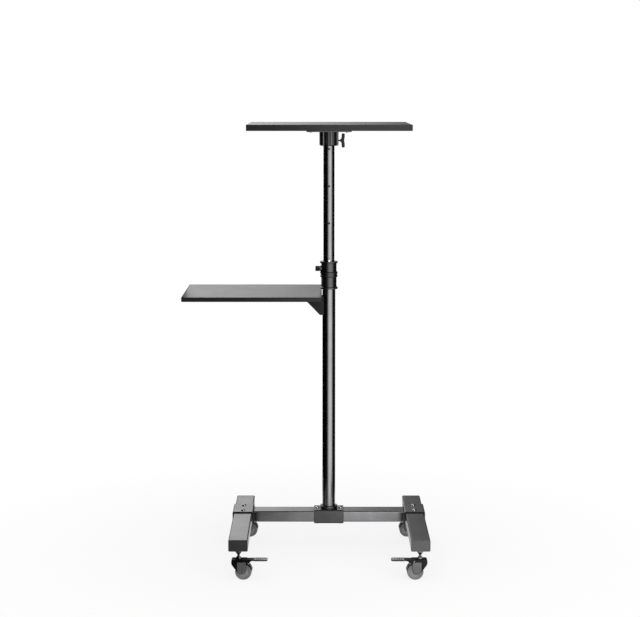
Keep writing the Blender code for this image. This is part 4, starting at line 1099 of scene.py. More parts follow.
# %% Pole paint
POLE_PAINT = layered_finish(
    "gloss_black_pole_paint", tone=0.150, gloss=0.22, metallic=1.0, drift=(18.0, 0.10), smudge=(14.0, 0.05),
    grain=((1.0, 1.0, 0.02), 900.0, 0.06), relief=(1300.0, 0.0000008), wear=(0.0005, 0.3, 0.3),
)


# %% Poles
POLE_WALL = 0.0012
POLE_SIDES = 96
HOLE_PITCH = 0.100
HOLES = 5
HOLE_RADIUS = 0.0031
HOLE_ROUND = 0.00025
PIN_LIFT = 0.00015               # from the eye's middle to the pin's axis
SCREW_HOLE_RADIUS = 0.0028


def make_pole(name, node):
    low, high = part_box(node)
    radius = (high.x - low.x) / 2.0
    pole = cylinder(name, radius, low.z, high.z, "Z", middle_of(node).xy, POLE_SIDES, "NOTHING")
    apply_modifier(pole, "SOLIDIFY", thickness=POLE_WALL, offset=-1.0)
    return pole


lower_tube = make_pole("lower_pole_tube", "lower_pole")
screw_holes = [cylinder("hole", SCREW_HOLE_RADIUS, pole_low.x - OVERRUN, pole_low.x + OVERRUN, "X",
                        (POLE.y, middle_of(node).z), 24)
               for node in ("collar_knob_screw", "bracket_bolt_upper", "bracket_bolt_lower")]
cut(lower_tube, *screw_holes)
report(dress(smooth(lower_tube, 25.0), "lower_pole", POLE_PAINT))

upper_tube = make_pole("upper_pole_tube", "upper_pole")
upper_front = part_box("upper_pole")[0].y
PIN_HEIGHT = middle_of("pin_eye").z + PIN_LIFT
first_hole = PIN_HEIGHT - HOLE_PITCH
holes = [cylinder("hole", HOLE_RADIUS, upper_front - OVERRUN, upper_front + OVERRUN, "Y",
                  (POLE.x, first_hole + step * HOLE_PITCH), 32) for step in range(HOLES)]
cut(upper_tube, *holes)
soften(upper_tube, HOLE_ROUND, angle=50.0)
report(dress(smooth(upper_tube, 25.0), "upper_pole", POLE_PAINT))

# %% [markdown]
# ## Foot ring
# A moulded ring hides the joint between the pole and the sleeve. It is spun from its section,
# with a small round on its top edge and a groove below it.

# %% Foot ring
ring_low, ring_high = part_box("pole_base_ring")
RING_RADIUS = (ring_high.x - ring_low.x) / 2.0
POLE_RADIUS = (pole_high.x - pole_low.x) / 2.0
CLEARANCE = 0.0003
ring_section = [
    (POLE_RADIUS + CLEARANCE, ring_low.z), (RING_RADIUS - 0.0003, ring_low.z),
    (RING_RADIUS, ring_low.z + 0.0003),
    (RING_RADIUS, ring_low.z + 0.0030), (RING_RADIUS - 0.0005, ring_low.z + 0.0034),
    (RING_RADIUS - 0.0005, ring_low.z + 0.0040), (RING_RADIUS, ring_low.z + 0.0044),
    (RING_RADIUS, ring_high.z - 0.0015), (RING_RADIUS - 0.0004, ring_high.z - 0.0006),
    (RING_RADIUS - 0.0015, ring_high.z), (POLE_RADIUS + 0.0008, ring_high.z),
    (POLE_RADIUS + CLEARANCE, ring_high.z - 0.0005),
]
foot_ring = turned("foot_ring_moulding", ring_section, "Z", POLE_AXIS, 96, ring=True)
report(dress(smooth(foot_ring, 50.0), "pole_base_ring", MOULDED_BLACK))

# %% [markdown]
# ## Clamp collar
# The collar is one moulding with three flanges: at its foot, round its middle as a grooved band,
# and at its top, where a lip hides the lower pole's mouth. It is spun from its section. A short
# boss is welded on where the thumb knob's screw goes in.

# %% Collar
collar_low, collar_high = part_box("collar_body")
COLLAR_RADIUS = 0.0207
FLANGE_RADIUS = (collar_high.x - collar_low.x) / 2.0
BAND_FOOT = collar_low.z + 0.033
BAND_HEIGHT = 0.013
BEAD_HEIGHT = 0.0036             # each of the two beads that bound the band
BEAD_ROUND = 0.0008
LIP_DEPTH = 0.0134
UPPER_BORE = 0.0153              # for the upper pole
KNOB_HEIGHT = middle_of("collar_knob_screw").z
BOSS_RADIUS = 0.0080
BOSS_SINK = 0.0015               # how deep the boss is set into the collar
SCREW_REACH = 0.0156             # how near the pole's axis the screw's hole comes


def bead_section(foot):
    """The section of a bead round the collar, from its foot to its head, with rounded edges."""
    head = foot + BEAD_HEIGHT
    return [
        (COLLAR_RADIUS + 0.0006, foot - 0.0012), (FLANGE_RADIUS - BEAD_ROUND, foot - 0.0002),
        (FLANGE_RADIUS, foot + BEAD_ROUND), (FLANGE_RADIUS, head - BEAD_ROUND),
        (FLANGE_RADIUS - BEAD_ROUND, head + 0.0002), (COLLAR_RADIUS + 0.0006, head + 0.0012),
    ]


collar_section = [
    (POLE_RADIUS + CLEARANCE, collar_low.z), (FLANGE_RADIUS - 0.0008, collar_low.z),
    (FLANGE_RADIUS, collar_low.z + 0.0008), (FLANGE_RADIUS, collar_low.z + 0.0040),
    (FLANGE_RADIUS - 0.0008, collar_low.z + 0.0048), (COLLAR_RADIUS + 0.0006, collar_low.z + 0.0056),
    (COLLAR_RADIUS, collar_low.z + 0.0066), (COLLAR_RADIUS, BAND_FOOT - 0.0024),
]
collar_section += bead_section(BAND_FOOT)[:-1]
collar_section += [(FLANGE_RADIUS - 0.0016, BAND_FOOT + rise) for rise in (0.0046, 0.0084)]
collar_section += bead_section(BAND_FOOT + BAND_HEIGHT - BEAD_HEIGHT)[1:]
collar_section += [
    (COLLAR_RADIUS, BAND_FOOT + BAND_HEIGHT + 0.0024), (COLLAR_RADIUS, collar_high.z - 0.0066),
    (COLLAR_RADIUS + 0.0006, collar_high.z - 0.0056), (FLANGE_RADIUS - 0.0008, collar_high.z - 0.0048),
    (FLANGE_RADIUS, collar_high.z - 0.0040), (FLANGE_RADIUS, collar_high.z - 0.0008),
    (FLANGE_RADIUS - 0.0008, collar_high.z), (UPPER_BORE + 0.0006, collar_high.z),
    (UPPER_BORE, collar_high.z - 0.0006), (UPPER_BORE, collar_high.z - LIP_DEPTH),
    (POLE_RADIUS + CLEARANCE, collar_high.z - LIP_DEPTH),
]
collar = turned("clamp_collar", collar_section, "Z", POLE_AXIS, 96, ring=True)
boss_end = POLE.x - COLLAR_RADIUS + BOSS_SINK
boss = cylinder("boss", BOSS_RADIUS, collar_low.x, boss_end, "X", (POLE.y, KNOB_HEIGHT), 48)
soften(boss, 0.0008, 3, 50.0)
weld(collar, boss)
cut(collar, cylinder("screw_hole", SCREW_HOLE_RADIUS, collar_low.x - OVERRUN, POLE.x - SCREW_REACH, "X",
                     (POLE.y, KNOB_HEIGHT), 32))
report(dress(smooth(collar, 32.0), "collar_body", MOULDED_BLACK))

# %% [markdown]
# ## Thumb knob
# The knob that tightens the collar has six finger lobes. Its outline follows a wave round a
# circle. It is extruded along the screw, both rims are bevelled, and its face is sunk a little,
# as moulded knobs are.

# %% Knob finish
KNOB_PLASTIC = layered_finish(
    "gloss_knob_plastic", tone=0.004, gloss=0.28, specular=0.15, drift=(90.0, 0.20), smudge=(70.0, 0.12),
    relief=(2200.0, 0.000006), wear=(0.0005, 0.3, 0.10),
)


# %% Thumb knob
KNOB_LOBES = 6
LOBE_DEPTH = 0.0009
KNOB_RIM = 0.0012
FACE_INSET = 0.0012
FACE_STEP = 0.0005
FACE_DEPTH = 0.0006
GRIP_DEPTH = 0.0053


def lobed_outline(radius, centre):
    points = []
    for step in range(KNOB_LOBES * 10):
        angle = 2.0 * math.pi * step / (KNOB_LOBES * 10)
        reach = radius - LOBE_DEPTH * (1.0 - math.cos(KNOB_LOBES * angle)) / 2.0
        points.append((centre[0] + reach * math.cos(angle), centre[1] + reach * math.sin(angle)))
    return points


knob_low, knob_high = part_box("collar_knob")
knob_outline = lobed_outline((knob_high.y - knob_low.y) / 2.0, (POLE.y, KNOB_HEIGHT))
knob = plate("thumb_knob", knob_outline, "X", knob_low.x, knob_high.x)
with editing(knob):
    round_rims(along("X"), KNOB_RIM, 4)
    pick("FACE", lambda middle, way: way.x < -0.99 and middle.x < knob_low.x + HAIR)
    inset(FACE_INSET)
    inset(FACE_STEP, -FACE_DEPTH)
cut(knob, cylinder("grip_hole", SCREW_HOLE_RADIUS, knob_high.x - GRIP_DEPTH, knob_high.x + OVERRUN, "X",
                   (POLE.y, KNOB_HEIGHT), 32))
report(dress(smooth(knob, 40.0), "collar_knob", KNOB_PLASTIC))

# %% [markdown]
# ## Height pin and its eye
# Above the collar's rim a small eye guides a bright pin that goes into one of the pole's holes.
# The eye is a block with a rounded top and a hole through it, and the pin is spun with a domed
# head and a tapered nose.

# %% Bright zinc finish
BRIGHT_ZINC = layered_finish(
    "bright_zinc_plate", tone=0.62, gloss=0.24, metallic=1.0, drift=(120.0, 0.12), smudge=(90.0, 0.12),
    relief=(2400.0, 0.000006), wear=(0.0004, 0.2, 0.8),
)

# %% Height pin and eye
EYE_ROUND = 0.0026
PIN_BORE = 0.0028
eye_low, eye_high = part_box("pin_eye")
eye = block("pin_eye_moulding", eye_low, eye_high)
with editing(eye):
    pick("EDGE", lambda middle, way: abs(way.y) > 0.99 and middle.z > PIN_HEIGHT)
    bevel(EYE_ROUND, 6)
cut(eye, cylinder("pin_bore", PIN_BORE, eye_low.y - OVERRUN, eye_high.y + OVERRUN, "Y",
                  (POLE.x, PIN_HEIGHT), 32))
soften(eye, 0.0003, angle=50.0)
report(dress(smooth(eye), "pin_eye", MOULDED_BLACK))

pin_low, pin_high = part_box("height_pin")
PIN_RADIUS = 0.0025
PIN_HEAD_LENGTH = 0.0030
PIN_HEAD = (pin_high.z - pin_low.z) / 2.0
pin_shoulder = pin_low.y + PIN_HEAD_LENGTH
pin_section = [(0.0, pin_high.y), (PIN_RADIUS - 0.0006, pin_high.y), (PIN_RADIUS, pin_high.y - 0.0008),
               (PIN_RADIUS, pin_shoulder + 0.0012), (PIN_RADIUS - 0.0003, pin_shoulder + 0.0008),
               (PIN_RADIUS - 0.0003, pin_shoulder), (PIN_HEAD - 0.0002, pin_shoulder)]
pin_section += [(radius, pin_shoulder - 0.0002 - rise) for radius, rise in dome(PIN_HEAD, 0.0028, 0.0012)]
pin = turned("height_pin_turned", pin_section, "Y", (POLE.x, PIN_HEIGHT), 40)
report(dress(smooth(pin, 40.0), "height_pin", BRIGHT_ZINC))

# %% [markdown]
# ## Top socket
# The socket grips the upper pole's end and carries the tray on a square flange. Its barrel has
# twelve upright ribs. The ribbed outline is extruded in three steps, narrow at the foot for the
# lead-in, then the flange is welded on and the pole's bore cut out from below.

# %% Socket shape
socket_low, socket_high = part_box("top_socket")
FLANGE_THICKNESS = 0.0057
FLANGE_FOOT = socket_high.z - FLANGE_THICKNESS
SOCKET_RADIUS = 0.0260
SOCKET_CORE = 0.0232
SOCKET_RIBS = 12
SOCKET_LEAD_IN = 0.0030
SOCKET_BORE_DEPTH = 0.036
LEAD_IN_SHARE = 0.72             # how far the lead-in has widened half way up, as on a curve
FLANGE_CORNER = 0.006
FLANGE_RIM = 0.0008
WING_BORE = 0.0023
WING_BORE_START, WING_BORE_END = 0.0140, 0.0320    # from the pole's axis
RIB_SHARES = ((0.14, 0.0), (0.22, 0.35), (0.30, 1.0), (0.50, 1.04), (0.70, 1.0), (0.78, 0.35), (0.86, 0.0))


def ribbed_outline(radius, core):
    points = []
    for rib in range(SOCKET_RIBS):
        for share, stand in RIB_SHARES:
            angle = 2.0 * math.pi * (rib + share) / SOCKET_RIBS
            reach = core + min(stand, 1.0) * (radius - core)
            points.append((POLE.x + reach * math.cos(angle), POLE.y + reach * math.sin(angle)))
    return points


def extrude_and_scale(rise, share):
    """Extrudes the selected face upwards and scales it about the pole's axis."""
    raise_faces((0.0, 0.0, rise))
    bpy.ops.transform.resize(value=(share, share, 1.0), center_override=(*POLE_AXIS, 0.0))


# %% Top socket
foot_share = (SOCKET_RADIUS - SOCKET_LEAD_IN) / SOCKET_RADIUS
half_way = 1.0 + (1.0 / foot_share - 1.0) * LEAD_IN_SHARE
foot_outline = ribbed_outline(SOCKET_RADIUS * foot_share, SOCKET_CORE * foot_share)
barrel = chain("top_socket_moulding", [Vector((x, y, socket_low.z)) for x, y in foot_outline], True)
with editing(barrel):
    bpy.ops.mesh.select_all(action="SELECT")
    bpy.ops.mesh.edge_face_add()
    extrude_and_scale(SOCKET_LEAD_IN * 0.5, half_way)
    extrude_and_scale(SOCKET_LEAD_IN * 0.5, (1.0 / foot_share) / half_way)
    extrude_and_scale(FLANGE_FOOT - socket_low.z - SOCKET_LEAD_IN + 0.002, 1.0)
    face_outward()
flange = block("flange", (socket_low.x, socket_low.y, FLANGE_FOOT), socket_high)
with editing(flange):
    round_edges("Z", FLANGE_CORNER, 8)
    round_rims(along("Z"), FLANGE_RIM, 3)
weld(barrel, flange)
cut(barrel, cylinder("pole_bore", UPPER_BORE, socket_low.z - OVERRUN, socket_low.z + SOCKET_BORE_DEPTH,
                     "Z", POLE_AXIS, POLE_SIDES))
WING_HEIGHT = middle_of("wing_screw").z
cut(barrel, cylinder("wing_bore", WING_BORE, POLE.x + WING_BORE_START, POLE.x + WING_BORE_END, "X",
                     (POLE.y, WING_HEIGHT), 24))
report(dress(smooth(barrel, 28.0), "top_socket", MOULDED_BLACK))

# %% [markdown]
# ## Wing screw
# The wing screw that fixes the top tray has two flat wings with round shoulders. The outline of
# one wing is mirrored about the screw's axis and extruded to the wings' thickness. All edges are
# rounded well, and the shank is welded on.

# %% Wing screw
wing_low, wing_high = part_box("wing_screw")
WING_WIDTH = 0.0086
WING_START = wing_high.x - WING_WIDTH
WING_HALF = (wing_high.z - wing_low.z) / 2.0
SHANK_RADIUS = 0.0020
wing_rise = [
    (WING_START - 0.0045, 0.0030), (WING_START - 0.0030, 0.0036), (WING_START - 0.0012, 0.0054),
    (WING_START - 0.0002, 0.0085), (WING_START, WING_HALF - 0.0030),
    (WING_START + 0.0010, WING_HALF - 0.0010), (WING_START + 0.0026, WING_HALF),
    (wing_high.x - 0.0026, WING_HALF), (wing_high.x - 0.0010, WING_HALF - 0.0010),
    (wing_high.x, WING_HALF - 0.0030), (wing_high.x - 0.0003, WING_HALF - 0.0100),
    (wing_high.x - 0.0012, 0.0040), (wing_high.x - 0.0016, 0.0),
]
wing_outline = [(x, WING_HEIGHT + rise) for x, rise in wing_rise]
wing_outline += [(x, WING_HEIGHT - rise) for x, rise in reversed(wing_rise[:-1])]
wings = plate("wing_screw_moulding", wing_outline, "Y", wing_low.y, wing_high.y)
soften(wings, 0.0014, 4, 50.0)
shank = cylinder("shank", SHANK_RADIUS, wing_low.x, WING_START + 0.002, "X", (POLE.y, WING_HEIGHT), 32)
soften(shank, 0.0004, angle=50.0)
weld(wings, shank)
report(dress(smooth(wings), "wing_screw", KNOB_PLASTIC))

# %% [markdown]
# ## Side tray bracket
# The side tray rests on a folded steel gusset that is bolted to the pole. Its side view is
# extruded to its full width, its inside is cut away so that two cheeks and a back remain, the
# back is hollowed to the pole, and a plate with round corners is welded on top. Its powder coat
# is coarse and dull, and looks mottled in the photograph.

# %% Bracket finish
COARSE_POWDER = layered_finish(
    "coarse_black_powder", tone=0.005, gloss=0.62, specular=0.20, drift=(420.0, 0.75), smudge=(200.0, 0.20),
    relief=(520.0, 0.00012), wear=(0.0006, 0.3, 0.12),
)

# %% Bracket
bracket_low, bracket_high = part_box("lower_tray_bracket")
BRACKET_HALF = 0.0165
SHEET = 0.0025
PLATE_END = POLE.x - 0.0195
PLATE_CORNER = 0.008
BACK_X = POLE.x - 0.0220
GUSSET_TIP = POLE.x - 0.0720
GUSSET_HEAD = bracket_high.z - 0.0012
TIP_FOOT = bracket_high.z - 0.003
PAST_BOX = 0.01                  # how far the cutters reach past the bracket
gusset_outline = [(bracket_high.x, bracket_low.z), (bracket_high.x, GUSSET_HEAD),
                  (GUSSET_TIP, GUSSET_HEAD), (GUSSET_TIP, TIP_FOOT), (BACK_X - SHEET, bracket_low.z)]
bracket = plate("side_tray_gusset", gusset_outline, "Y", POLE.y - BRACKET_HALF, POLE.y + BRACKET_HALF)
inside = BRACKET_HALF - SHEET
room = block("room", (GUSSET_TIP - PAST_BOX, POLE.y - inside, bracket_low.z - PAST_BOX),
             (BACK_X, POLE.y + inside, bracket_high.z - SHEET))
cut(bracket, room, cylinder("pole_hollow", POLE_RADIUS + CLEARANCE, bracket_low.z - PAST_BOX,
                            bracket_high.z + PAST_BOX, "Z", POLE_AXIS, POLE_SIDES))
tray_plate = block("tray_plate", (bracket_low.x, bracket_low.y, bracket_high.z - SHEET),
                   (PLATE_END, bracket_high.y, bracket_high.z))
with editing(tray_plate):
    round_edges("Z", PLATE_CORNER, 8)
weld(bracket, tray_plate)
soften(bracket, 0.0004)
report(dress(smooth(bracket), "lower_tray_bracket", COARSE_POWDER))

# %% [markdown]
# ## Bracket bolts and tray screws
# Two button-head bolts hold the bracket to the pole. Eight small screws with crossed slots hold
# the trays from below. Each kind is spun once, gets its recess, and is copied.

# %% Bracket bolts
BUTTON_HEIGHT = 0.0028
BUTTON_RADIUS = 0.0048
BUTTON_LIP = 0.0007
BUTTON_SOCKET = 0.0017           # radius to the hexagon's corners
BUTTON_SOCKET_DEPTH = 0.0016


def make_bracket_bolt(name, node):
    low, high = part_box(node)
    centre = middle_of(node).yz
    seat = low.x + BUTTON_HEIGHT
    section = [(0.0, high.x), (0.0020, high.x), (0.0025, high.x - 0.0005), (0.0025, seat)]
    section += [(radius, seat - rise) for radius, rise in dome(BUTTON_RADIUS, BUTTON_HEIGHT, BUTTON_LIP)]
    bolt = turned(name, section, "X", centre, 40)
    cut(bolt, cylinder("recess", BUTTON_SOCKET, low.x - OVERRUN, low.x + BUTTON_SOCKET_DEPTH, "X",
                       centre, 6))
    return smooth(bolt, 40.0)


upper_bolt = make_bracket_bolt("bracket_bolt_upper_domed", "bracket_bolt_upper")
lower_bolt = copied(upper_bolt, "bracket_bolt_lower_domed",
                    move_between("bracket_bolt_upper", "bracket_bolt_lower"))
report(dress(upper_bolt, "bracket_bolt_upper", BOLT_METAL),
       dress(lower_bolt, "bracket_bolt_lower", BOLT_METAL))


# %% Tray screws
SCREW_HEAD_RADIUS = 0.0036
SCREW_HEAD_HEIGHT = 0.0020
SCREW_LIP = 0.0006
SCREW_LENGTH = 0.003
SLOT_LENGTH = 0.0036
SLOT_WIDTH = 0.0008
SLOT_DEPTH = 0.0010


def make_tray_screw(name, place):
    """A screw that points up, with its head below the place."""
    tip = place.z + SCREW_LENGTH
    head = dome(SCREW_HEAD_RADIUS, SCREW_HEAD_HEIGHT, SCREW_LIP)
    section = [(0.0, tip), (0.0014, tip), (0.0019, place.z)]
    section += [(radius, place.z - rise) for radius, rise in head]
    screw = turned(name, section, "Z", (place.x, place.y), 32)
    for length, width in ((SLOT_LENGTH, SLOT_WIDTH), (SLOT_WIDTH, SLOT_LENGTH)):
        half = Vector((length / 2.0, width / 2.0, SLOT_DEPTH))
        foot = Vector((place.x, place.y, place.z - SCREW_HEAD_HEIGHT))
        cut(screw, block("slot", foot - half, foot + half))
    return smooth(screw, 40.0)


def corners(centre, half_x, half_y, height):
    return [Vector((centre[0] + x, centre[1] + y, height))
            for x in (-half_x, half_x) for y in (-half_y, half_y)]


SCREW_INSET = 0.012
flange_half = (socket_high.x - socket_low.x) / 2.0 - SCREW_INSET
plate_middle = ((bracket_low.x + PLATE_END) / 2.0, POLE.y)
plate_half = ((PLATE_END - bracket_low.x) / 2.0 - SCREW_INSET,
              (bracket_high.y - bracket_low.y) / 2.0 - SCREW_INSET)
first_screw = None
for body, places in (
    ("top", corners(POLE, flange_half, flange_half, FLANGE_FOOT)),
    ("frame", corners(plate_middle, *plate_half, bracket_high.z - SHEET)),
):
    for number, place in enumerate(places, 1):
        name = f"{body}_tray_screw_{number}"
        if first_screw is None:
            first_screw, first_place = make_tray_screw(name, place), place
            screw = first_screw
            screw.data.materials.append(BOLT_METAL)
        else:
            screw = copied(first_screw, name, Matrix.Translation(place - first_place))
        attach(screw, body)
report(first_screw)

# %% [markdown]
# ## Casters
# Each caster has a black hood on a waisted stem, a grey tongue that reaches down to the axle, a
# grey wheel, and at the front a brake pedal. One of each is modelled at the front left, where its
# wheel trails towards the middle of the cart. A caster on the right is the same one turned half
# way round its stem.

# %% Caster finishes
HOOD_BLACK = layered_finish(
    "caster_hood_black", tone=0.003, gloss=0.36, specular=0.10, drift=(90.0, 0.20), smudge=(80.0, 0.12),
    relief=(1700.0, 0.000012), wear=(0.0006, 0.35, 0.10),
)
TONGUE_GREY = layered_finish(
    "caster_tongue_grey", tone=0.075, gloss=0.40, drift=(110.0, 0.22), smudge=(80.0, 0.12),
    relief=(1500.0, 0.000015), wear=(0.0006, 0.5, 0.25),
)
STEM_METAL = layered_finish(
    "blackened_stem_metal", tone=0.10, gloss=0.26, metallic=1.0, drift=(150.0, 0.20), smudge=(90.0, 0.12),
    relief=(2000.0, 0.000008), wear=(0.0005, 0.3, 0.4),
)

# %% Caster places
STEM = middle_of("caster_stem_front_left")
STEM_AXIS = (STEM.x, STEM.y)
WHEEL = middle_of("wheel_tread_front_left")
WHEEL_AXIS = (WHEEL.x, WHEEL.z)
FORK_LOW, FORK_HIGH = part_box("caster_fork_front_left")
ENDS = ("front_left", "front_right", "rear_left", "rear_right")


def caster_place(end, first="front_left"):
    """The matrix that takes a caster from the front left to another corner of the cart."""
    shift = middle_of("caster_stem_" + end) - middle_of("caster_stem_" + first)
    shift.z = 0.0
    moved = Matrix.Translation(shift)
    if end.endswith("right") != first.endswith("right"):
        moved = half_turn(middle_of("caster_stem_" + end)) @ moved
    return moved


def dress_all(first, prefix, suffix, ends, *finishes):
    """Copies a caster's piece to the other corners, and dresses each."""
    made = [first]
    for end in ends[1:]:
        made.append(copied(first, f"{prefix}_{suffix}_{end}", caster_place(end, ends[0])))
    for piece, end in zip(made, ends):
        dress(piece, f"{prefix}_{end}", *finishes)
    report(first)


# %% Stems
stem_low, stem_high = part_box("caster_stem_front_left")
NECK_FOOT = FORK_HIGH.z + 0.0003
FRAME_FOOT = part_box("leg_left")[0].z
NECK_HEIGHT = FRAME_FOOT - NECK_FOOT
NECK_RADIUS = 0.0083
NECK_SHAPE = (                   # shares of the neck's radius and height
    (0.76, 0.0), (0.82, 0.02), (0.82, 0.10), (0.76, 0.14), (0.45, 0.28), (0.37, 0.34), (0.36, 0.38),
    (0.42, 0.43), (0.90, 0.64), (0.98, 0.69), (1.0, 0.73), (1.0, 0.95), (0.96, 1.0),
)
STEM_NUT_WIDTH = 0.0130
STEM_NUT_HEIGHT = 0.0065
NUT_SEAT = FRAME_FOOT + 0.0018
stem_section = [(0.0, stem_low.z), (0.0050, stem_low.z), (0.0055, stem_low.z + 0.0005),
                (0.0055, stem_low.z + 0.0018), (0.0030, stem_low.z + 0.0018), (0.0030, NECK_FOOT)]
stem_section += [(NECK_RADIUS * wide, NECK_FOOT + NECK_HEIGHT * high) for wide, high in NECK_SHAPE]
stem_section += [(0.0040, FRAME_FOOT), (0.0040, stem_high.z - 0.0006), (0.0034, stem_high.z),
                 (0.0, stem_high.z)]
stem = turned("caster_stem_turned_front_left", stem_section, "Z", STEM_AXIS, 48)
weld(stem, hex_nut("stem_nut", STEM_NUT_WIDTH, NUT_SEAT, NUT_SEAT + STEM_NUT_HEIGHT, STEM_AXIS))
dress_all(smooth(stem), "caster_stem", "turned", ENDS, STEM_METAL)

# %% [markdown]
# ### Fork
# The hood is a narrow arch over the wheel. Its side view is extruded across, and the wheel's room
# is cut out from below. On each cheek lies the tongue, a raised plate that narrows to a round end
# at the axle. A fin beside it follows the tyre, and a guard joins the fins over the tread. The
# front forks also have a mouth for the pedal.

# %% Fork sizes
WHEEL_AT = (WHEEL.x - STEM.x, WHEEL.z)
BOSS_AT = (0.0078, 0.0283)       # the middle of the cheeks' round ends
HINGE = (STEM.x + 0.0155, 0.0503)
HINGE_BORE = 0.0020
PIN_ROOM = 0.0033                # radius of the bores for the stem and the axle
FORK_TOP = FORK_HIGH.z
FORK_HALF = (FORK_HIGH.y - FORK_LOW.y) / 2.0
ROOM_HALF = 0.0100
ROOM_BACK, ROOM_FRONT = -0.0155, 0.0300    # from the stem's axis, as with the mouth's start
ROOM_ROUND = 0.0030
MOUTH_START = 0.0093
BORE_HALF = 0.02                 # half the length of a cutter that bores both cheeks
TONGUE_DEPTH = 0.0006
TONGUE_SINK = 0.0008             # how deep a tongue is set into its cheek
FIN_STEP = 0.0003                # how far the fins stay behind the cheeks' faces
WEB_FOOT = FORK_TOP - 0.0085


# %% Fork outlines
def arc(centre, radius, start, end, steps):
    """Points of an arc, with its angles in degrees."""
    angles = [math.radians(start + (end - start) * step / steps) for step in range(steps + 1)]
    return [(centre[0] + radius * math.cos(a), centre[1] + radius * math.sin(a)) for a in angles]


def from_stem(outline):
    """An outline given from the stem's axis, with heights from the floor, in the cart's places."""
    return [(STEM.x + out, height) for out, height in outline]


HOOD_OUTLINE = [(-0.0185, 0.0440)]
HOOD_OUTLINE += arc((-0.0145, FORK_TOP - 0.0040), 0.0040, 180.0, 90.0, 6)
HOOD_OUTLINE += arc((0.0205, FORK_TOP - 0.0030), 0.0030, 90.0, 0.0, 6)
HOOD_OUTLINE += [(0.0235, 0.0460), (0.0201, 0.0380)]
HOOD_OUTLINE += arc(BOSS_AT, 0.0123, 0.0, -126.0, 16)
HOOD_OUTLINE += [(-0.0040, 0.0240), (-0.0085, 0.0290), (-0.0135, 0.0355), (-0.0170, 0.0405)]
TONGUE_OUTLINE = [(-0.0030, 0.0475), (0.0190, 0.0475), (0.0196, 0.0380)]
TONGUE_OUTLINE += arc(BOSS_AT, 0.0116, 0.0, -140.0, 16)
TONGUE_OUTLINE += [(-0.0032, 0.0290)]
FIN_RADIUS = 0.0239
FIN_OUTLINE = arc(WHEEL_AT, FIN_RADIUS, 12.0, 78.0, 14)       # a crescent that thins downwards
FIN_OUTLINE += arc((WHEEL_AT[0] + 0.0010, WHEEL_AT[1] - 0.0025), 0.0226, 78.0, 12.0, 14)
GUARD_THICKNESS = 0.0008
GUARD_SPAN = (14.0, 50.0)                                     # clear of the pressed pedal's shoe
GUARD_HALF = ROOM_HALF + 0.0006
GUARD_OUTLINE = arc(WHEEL_AT, FIN_RADIUS, *GUARD_SPAN, 12)
GUARD_OUTLINE += arc(WHEEL_AT, FIN_RADIUS - GUARD_THICKNESS, *reversed(GUARD_SPAN), 12)


# %% Forks
def across_fork(name, outline, half):
    """A plate of an outline given from the stem, as far to both sides of the fork's middle."""
    return plate(name, from_stem(outline), "Y", STEM.y - half, STEM.y + half)


def bore_across(name, radius, centre, sides):
    return cylinder(name, radius, STEM.y - BORE_HALF, STEM.y + BORE_HALF, "Y", centre, sides)


def make_fork(name, with_pedal):
    body_half = FORK_HALF - TONGUE_DEPTH
    fork = across_fork(name, HOOD_OUTLINE, body_half)
    for side in (-1.0, 1.0):
        tongue = plate("tongue", from_stem(TONGUE_OUTLINE), "Y",
                       STEM.y + side * (body_half - TONGUE_SINK), STEM.y + side * FORK_HALF)
        fin = plate("fin", from_stem(FIN_OUTLINE), "Y", STEM.y + side * ROOM_HALF,
                    STEM.y + side * (body_half - FIN_STEP))
        weld(fork, tongue, fin)
    room = block("room", (STEM.x + ROOM_BACK, STEM.y - ROOM_HALF, 0.0),
                 (STEM.x + ROOM_FRONT, STEM.y + ROOM_HALF, WEB_FOOT))
    with editing(room):
        pick("EDGE", lambda middle, way: abs(way.y) > 0.99 and middle.z > WEB_FOOT - HAIR
             and middle.x < STEM.x)
        bevel(ROOM_ROUND, 4)
    cut(fork, room, bore_across("axle_bore", PIN_ROOM, WHEEL_AXIS, 32),
        cylinder("stem_bore", PIN_ROOM, WEB_FOOT - OVERRUN, FORK_TOP + OVERRUN, "Z", STEM_AXIS, 32))
    if with_pedal:
        cut(fork, block("mouth", (STEM.x + MOUTH_START, STEM.y - ROOM_HALF, WEB_FOOT - OVERRUN),
                        (STEM.x + ROOM_FRONT, STEM.y + ROOM_HALF, FORK_TOP + OVERRUN)),
            bore_across("hinge_bore", HINGE_BORE, HINGE, 24))
    soften(fork, FINE_ROUND)
    weld(fork, across_fork("guard", GUARD_OUTLINE, GUARD_HALF))
    smooth(fork, 40.0)
    return paint(fork, lambda face: abs(face.center.y - STEM.y) > body_half + HAIR)


for first_end, with_pedal in (("front_left", True), ("rear_left", False)):
    fork = make_fork("caster_fork_hood_" + first_end, with_pedal)
    if first_end == "rear_left":
        fork.data.transform(caster_place("rear_left"))
    pair = (first_end, first_end.replace("left", "right"))
    dress_all(fork, "caster_fork", "hood", pair, HOOD_BLACK, TONGUE_GREY)

# %% [markdown]
# ### Wheel
# The wheel has a grey rubber tyre on a moulded core. Both are spun round the axle. The tyre's
# section has round shoulders and a fine mould line round its middle, and the core has a dished
# web between its hub and its rim.

# %% Wheel finishes
TYRE_RUBBER = layered_finish(
    "grey_tyre_rubber", tone=0.17, gloss=0.58, specular=0.35, drift=(70.0, 0.18), smudge=(60.0, 0.15),
    relief=(900.0, 0.00003), wear=(0.0008, 0.4, 0.09),
)
CORE_PLASTIC = layered_finish(
    "grey_wheel_core", tone=0.24, gloss=0.42, specular=0.45, drift=(90.0, 0.14), smudge=(70.0, 0.12),
    relief=(1500.0, 0.000012), wear=(0.0005, 0.3, 0.4),
)

